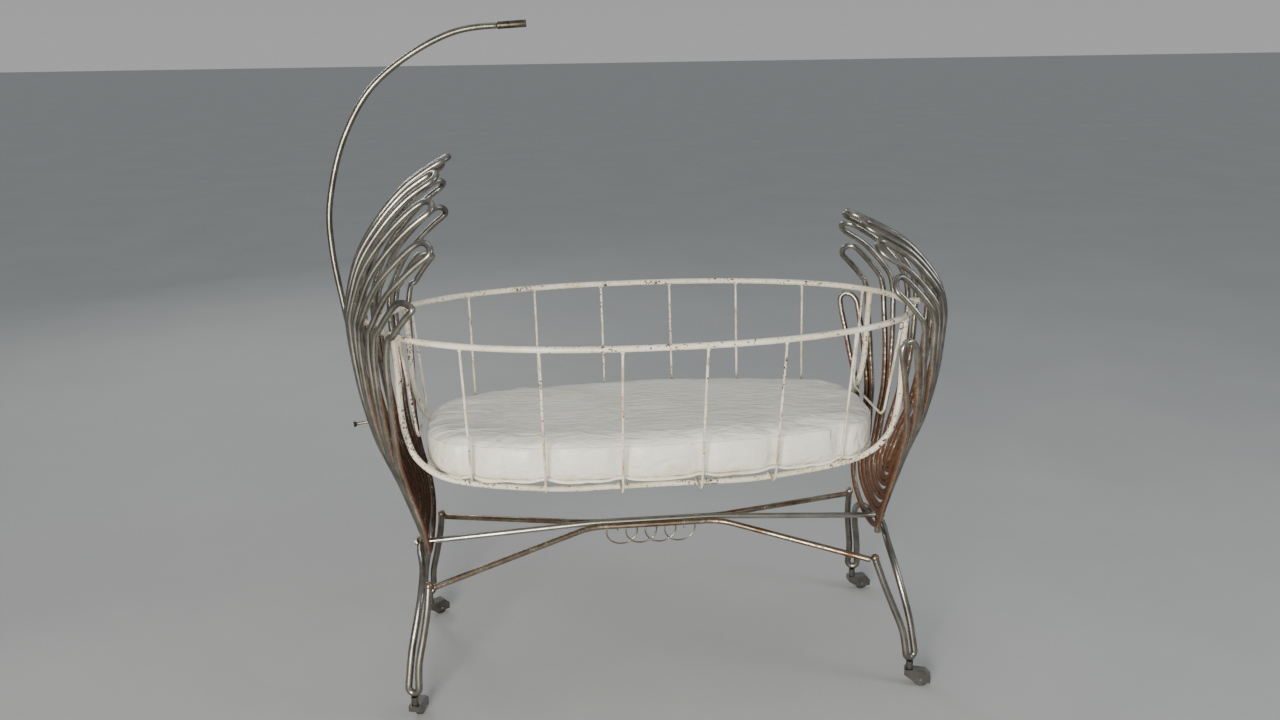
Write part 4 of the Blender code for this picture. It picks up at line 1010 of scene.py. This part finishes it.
# sleeve of dark tarnished brass: brown-black with worn yellow edges
dark_brass = two_tone("tarnished sleeve", {"Scale": 90.0, "Detail": 5.0},
                      ((0.35, "#3a352c"), (0.70, "#6f6a5c")), {"Metallic": 1.0},
                      rough=(0.0, 1.0, 0.55, 0.32))
sleeve_ends = [tip + tip_way * GAP, tip + tip_way * FERRULE_L * 0.5,
               tip + tip_way * FERRULE_L]
ferrule = bend_tubes("canopy_rod_sleeve", [(sleeve_ends, False)], FERRULE_D / 2, 24,
                     dark_brass)
fit(ferrule, "canopy_rod", "rod_ferrule", "rod_ferrule")
dress("rod_socket", fan_plate)
dress("rod_clamp_screw", dark_brass)

# ------------------------------------------------------------------ stretchers
# Three tubes run from end to end low down: the middle one still bright, the two side
# ones rusted brown with flecks of plating left. They are pinched together mid-way.
STEM_D = 0.0120
MID_RISE = 0.0165
LEG_TUBE = 0.012
LEG_BEND = 0.0095
LEG_SPREAD = 0.169
LEG_REACH = 0.4190
LEG_FOOT_H = 0.051
RETURN_IN = {"head_front": 0.001, "head_rear": 0.004, "foot_front": 0.029,
             "foot_rear": -0.010}
RETURN = ((-0.0020, -0.0075, 0.22), (-0.0110, -0.0165, 0.46),
          (-0.0190, -0.0235, 0.70), (-0.0235, -0.0325, 0.93))

foot_h = LEG_FOOT_H + LEG_BEND
drop = STRETCHER_H - foot_h
mid_h = STRETCHER_H + MID_RISE
DOWN = Vector((LEG_REACH + 0.0085, LEG_SPREAD - 0.003, foot_h))
BACK = Vector((LEG_REACH - 0.0085, LEG_SPREAD + 0.003, foot_h))
stem_x = {}
for label in ("head", "foot"):
    low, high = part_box(f"stem_{label}")
    stem_x[label] = abs((low.x + high.x) / 2 - middle)


def return_points(tag):
    """A leg's way back up from its hairpin bend, for the +X +Y corner."""
    return [BACK + Vector((x - RETURN_IN[tag] * (share / 0.93) ** 1.4, y, drop * share))
            for x, y, share in RETURN]


bright_plate = old_plate("bright chrome with specks", "#c3c2ba", "#96938a", "#7b5436",
                         "#5a3720", (0.02, 0.06, 0.0))
rusted_steel = old_plate("rusted steel with plating flecks", "#a39a88", "#6c523c",
                         "#6f4c34", "#4a2d1b", (0.24, 0.33, 0.0))
reach = {label: x - STEM_D / 2 - GAP for label, x in stem_x.items()}
corners = [(middle - reach["head"], 0, STRETCHER_H), (middle - 0.11, 0, mid_h),
           (middle + 0.11, 0, mid_h), (middle + reach["foot"], 0, STRETCHER_H)]
centre_bar = bend_tubes("stretcher_centre_tube", [(rounded(corners, 0.6, 12), False)],
                        STRETCHER / 2, 18, bright_plate)
fit(centre_bar, "frame", "stretcher_chrome", "stretcher_centre")

beside = STRETCHER + GAP
run_in = Vector((0.115, beside, mid_h - MID_RISE * 0.22))
side_bars = []
for label, sign in (("front", -1), ("rear", 1)):
    line = []
    for end, side in (("head", -1), ("foot", 1)):
        upper = return_points(f"{end}_{label}")
        leg_way = (upper[-2] - upper[-1]).normalized()
        meet = upper[-1] + leg_way * 0.006
        way = (meet - run_in).normalized()
        slant = way.angle(leg_way)
        short = LEG_TUBE / 2 + GAP + STRETCHER / 2 * abs(math.cos(slant))
        half = [meet - way * short / math.sin(slant), run_in]
        line += [Vector((middle + side * p.x, sign * p.y, p.z))
                 for p in half[::side * -1]]
    side_bars.append((rounded(line, 0.10, 12), False))
side_bar_tubes = bend_tubes("stretcher_side_tubes", side_bars, STRETCHER / 2, 16,
                            rusted_steel)
fit(side_bar_tubes, "frame", "rusted_steel", "stretcher_front", "stretcher_rear")

# ------------------------------------------------------------------ scroll
# Four overlapping loops of thin bright wire hang under the middle of the stretchers.
SCROLL_WIRE = 0.0028
SCROLL_R = 0.0180
SCROLL_LOOPS = 4
SCROLL_PITCH = 0.0345
scroll_mid = mid_h - STRETCHER / 2 - GAP - SCROLL_WIRE / 2 - SCROLL_R
first = -math.radians(250.0)
last = math.radians(360.0 * (SCROLL_LOOPS - 1) + 250.0)
scroll = []
for i in range(241):
    a = first + (last - first) * i / 240
    x = SCROLL_PITCH * (a / (2 * math.pi) - (SCROLL_LOOPS - 1) / 2)
    scroll.append(Vector((swing.x + x + SCROLL_R * math.sin(a), 0.0022 * math.sin(a),
                          scroll_mid - SCROLL_R * math.cos(a))))
wire_plate = old_plate("bright scroll wire", "#a9a58f", "#77725f", "#6e4f37", "#4c2e1c",
                       (0.03, 0.05, 0.0))
scroll_tube = bend_tubes("scroll_wire_loops", [(scroll, False)], SCROLL_WIRE / 2, 10,
                         wire_plate)
fit(scroll_tube, "frame", "scroll_wire", "scroll_wire")

# ------------------------------------------------------------------ legs and stems
# Each leg is one 12 mm tube that leaves the stem, turns down to a hairpin bend and
# climbs back to its side stretcher. The stem is a rusted upright where all of it meets.
leg_plate = old_plate("worn chrome, legs", "#98958c", "#67635a", "#6f4c33", "#4c2e1c",
                      (0.14, 0.06, 0.0))
leg_joints = []
for end, side in (("head", -1), ("foot", 1)):
    shoulder = [(stem_x[end], STEM_D / 2 + 0.0011, STRETCHER_H - 0.004),
                (stem_x[end] - 0.0010, 0.030, STRETCHER_H - 0.006),
                (LEG_REACH - 0.0185, LEG_SPREAD - 0.094, STRETCHER_H - 0.013),
                (LEG_REACH - 0.0170, LEG_SPREAD - 0.057, STRETCHER_H - drop * 0.21),
                (LEG_REACH - 0.0100, LEG_SPREAD - 0.034, STRETCHER_H - drop * 0.41),
                (LEG_REACH + 0.0010, LEG_SPREAD - 0.017, STRETCHER_H - drop * 0.69)]
    turn = []
    for k in range(1, 14):
        a = math.pi * k / 14
        turn.append((DOWN + BACK) / 2 + (DOWN - BACK) / 2 * math.cos(a)
                    - Vector((0, 0, LEG_BEND)) * math.sin(a))
    upper = spring_line([*shoulder, DOWN], 44)
    for label, sign in (("front", -1), ("rear", 1)):
        tag = f"{end}_{label}"
        lower = spring_line([BACK, *return_points(tag)], 28)
        line = [Vector((middle + side * p.x, sign * p.y, p.z))
                for p in (*upper, *turn, *lower)]
        leg = bend_tubes(f"leg_{tag}_tube", [(line, False)], LEG_TUBE / 2, 18,
                         leg_plate)
        fit(leg, "frame", "leg_chrome", f"leg_{tag}")
        leg_joints.append((line[-1], 0.0070))
        leg_joints.append((line[0], 0.0070))
for end in ("head", "foot"):
    dress(f"stem_{end}", rusted_steel)
    dress(f"stretcher_bolt_{end}", bolt_steel)
joint_lumps = weld("frame_weld_beads", leg_joints, 0.0030, rusted_steel)
fit(joint_lumps, "frame", "rusted_steel")

# ------------------------------------------------------------------ casters
# A small pressed steel hood over a hard black wheel, turning on a pin in a sleeve at
# the hairpin bend. Wheels are moulded hard rubber with a rounded tread.
WHEEL_D = 0.027
WHEEL_W = 0.0120
TREAD_ROUND = 0.0024
AXLE_D = 0.0040
PIN_CLEAR = 0.0004
caster_steel = old_plate("grey caster steel", "#8b8983", "#5d5b56", "#6d4f37",
                         "#4c2e1c", (0.05, 0.05, 0.0))

# hard rubber: near black, dusty where it rolls, with a dull sheen
tread_rubber = two_tone("hard black rubber", {"Scale": 110.0, "Detail": 5.0},
                        ((0.35, "#17171a"), (0.75, "#3a3836")), {"Roughness": 0.6},
                        relief=(0.3, 0.0004))

wheel_section = [(AXLE_D / 2 + PIN_CLEAR, -WHEEL_W * 0.50),
                 (WHEEL_D * 0.20, -WHEEL_W * 0.50), (WHEEL_D * 0.24, -WHEEL_W * 0.40),
                 (WHEEL_D * 0.36, -WHEEL_W * 0.40), (WHEEL_D * 0.40, -WHEEL_W * 0.50)]
for k in range(7):
    a = math.pi / 2 * k / 6
    wheel_section.append((WHEEL_D / 2 - TREAD_ROUND * (1 - math.sin(a)),
                          -WHEEL_W / 2 + TREAD_ROUND * (1 - math.cos(a))))
wheel_section += [(r, -y) for r, y in wheel_section[::-1]]
WHEEL_STEPS = 56
for end in ("head", "foot"):
    for label in ("front", "rear"):
        tag = f"{end}_{label}"
        low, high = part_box(f"caster_{tag}_wheel")
        hub = (low + high) / 2
        shaft = bpy.data.objects[f"caster_{tag}_axle"]
        points = [shaft.matrix_world @ v.co for v in shaft.data.vertices]
        start = max(points, key=lambda p: (p - hub).length)
        axle_way = Vector((start.x - hub.x, start.y - hub.y, 0.0)).normalized()
        roll_way = Vector((-axle_way.y, axle_way.x, 0.0))
        turned = bmesh.new()
        rings = []
        for i in range(WHEEL_STEPS):
            a = 2 * math.pi * i / WHEEL_STEPS
            out = roll_way * math.cos(a) + Vector((0, 0, math.sin(a)))
            rings.append([turned.verts.new(hub + out * r + axle_way * y)
                          for r, y in wheel_section])
        count = len(wheel_section)
        for i in range(WHEEL_STEPS):
            near, nxt = rings[i], rings[(i + 1) % WHEEL_STEPS]
            for k in range(count):
                turned.faces.new((near[k], nxt[k], nxt[(k + 1) % count],
                                  near[(k + 1) % count]))
        bmesh.ops.recalc_face_normals(turned, faces=turned.faces)
        wheel = from_shape(f"wheel_{tag}_tread", turned, tread_rubber)
        fit(wheel, f"wheel_{tag}", "caster_tread", f"caster_{tag}_wheel")
        for part in ("sleeve", "hood"):
            dress(f"caster_{tag}_{part}", caster_steel)
        dress(f"caster_{tag}_axle", bolt_steel)
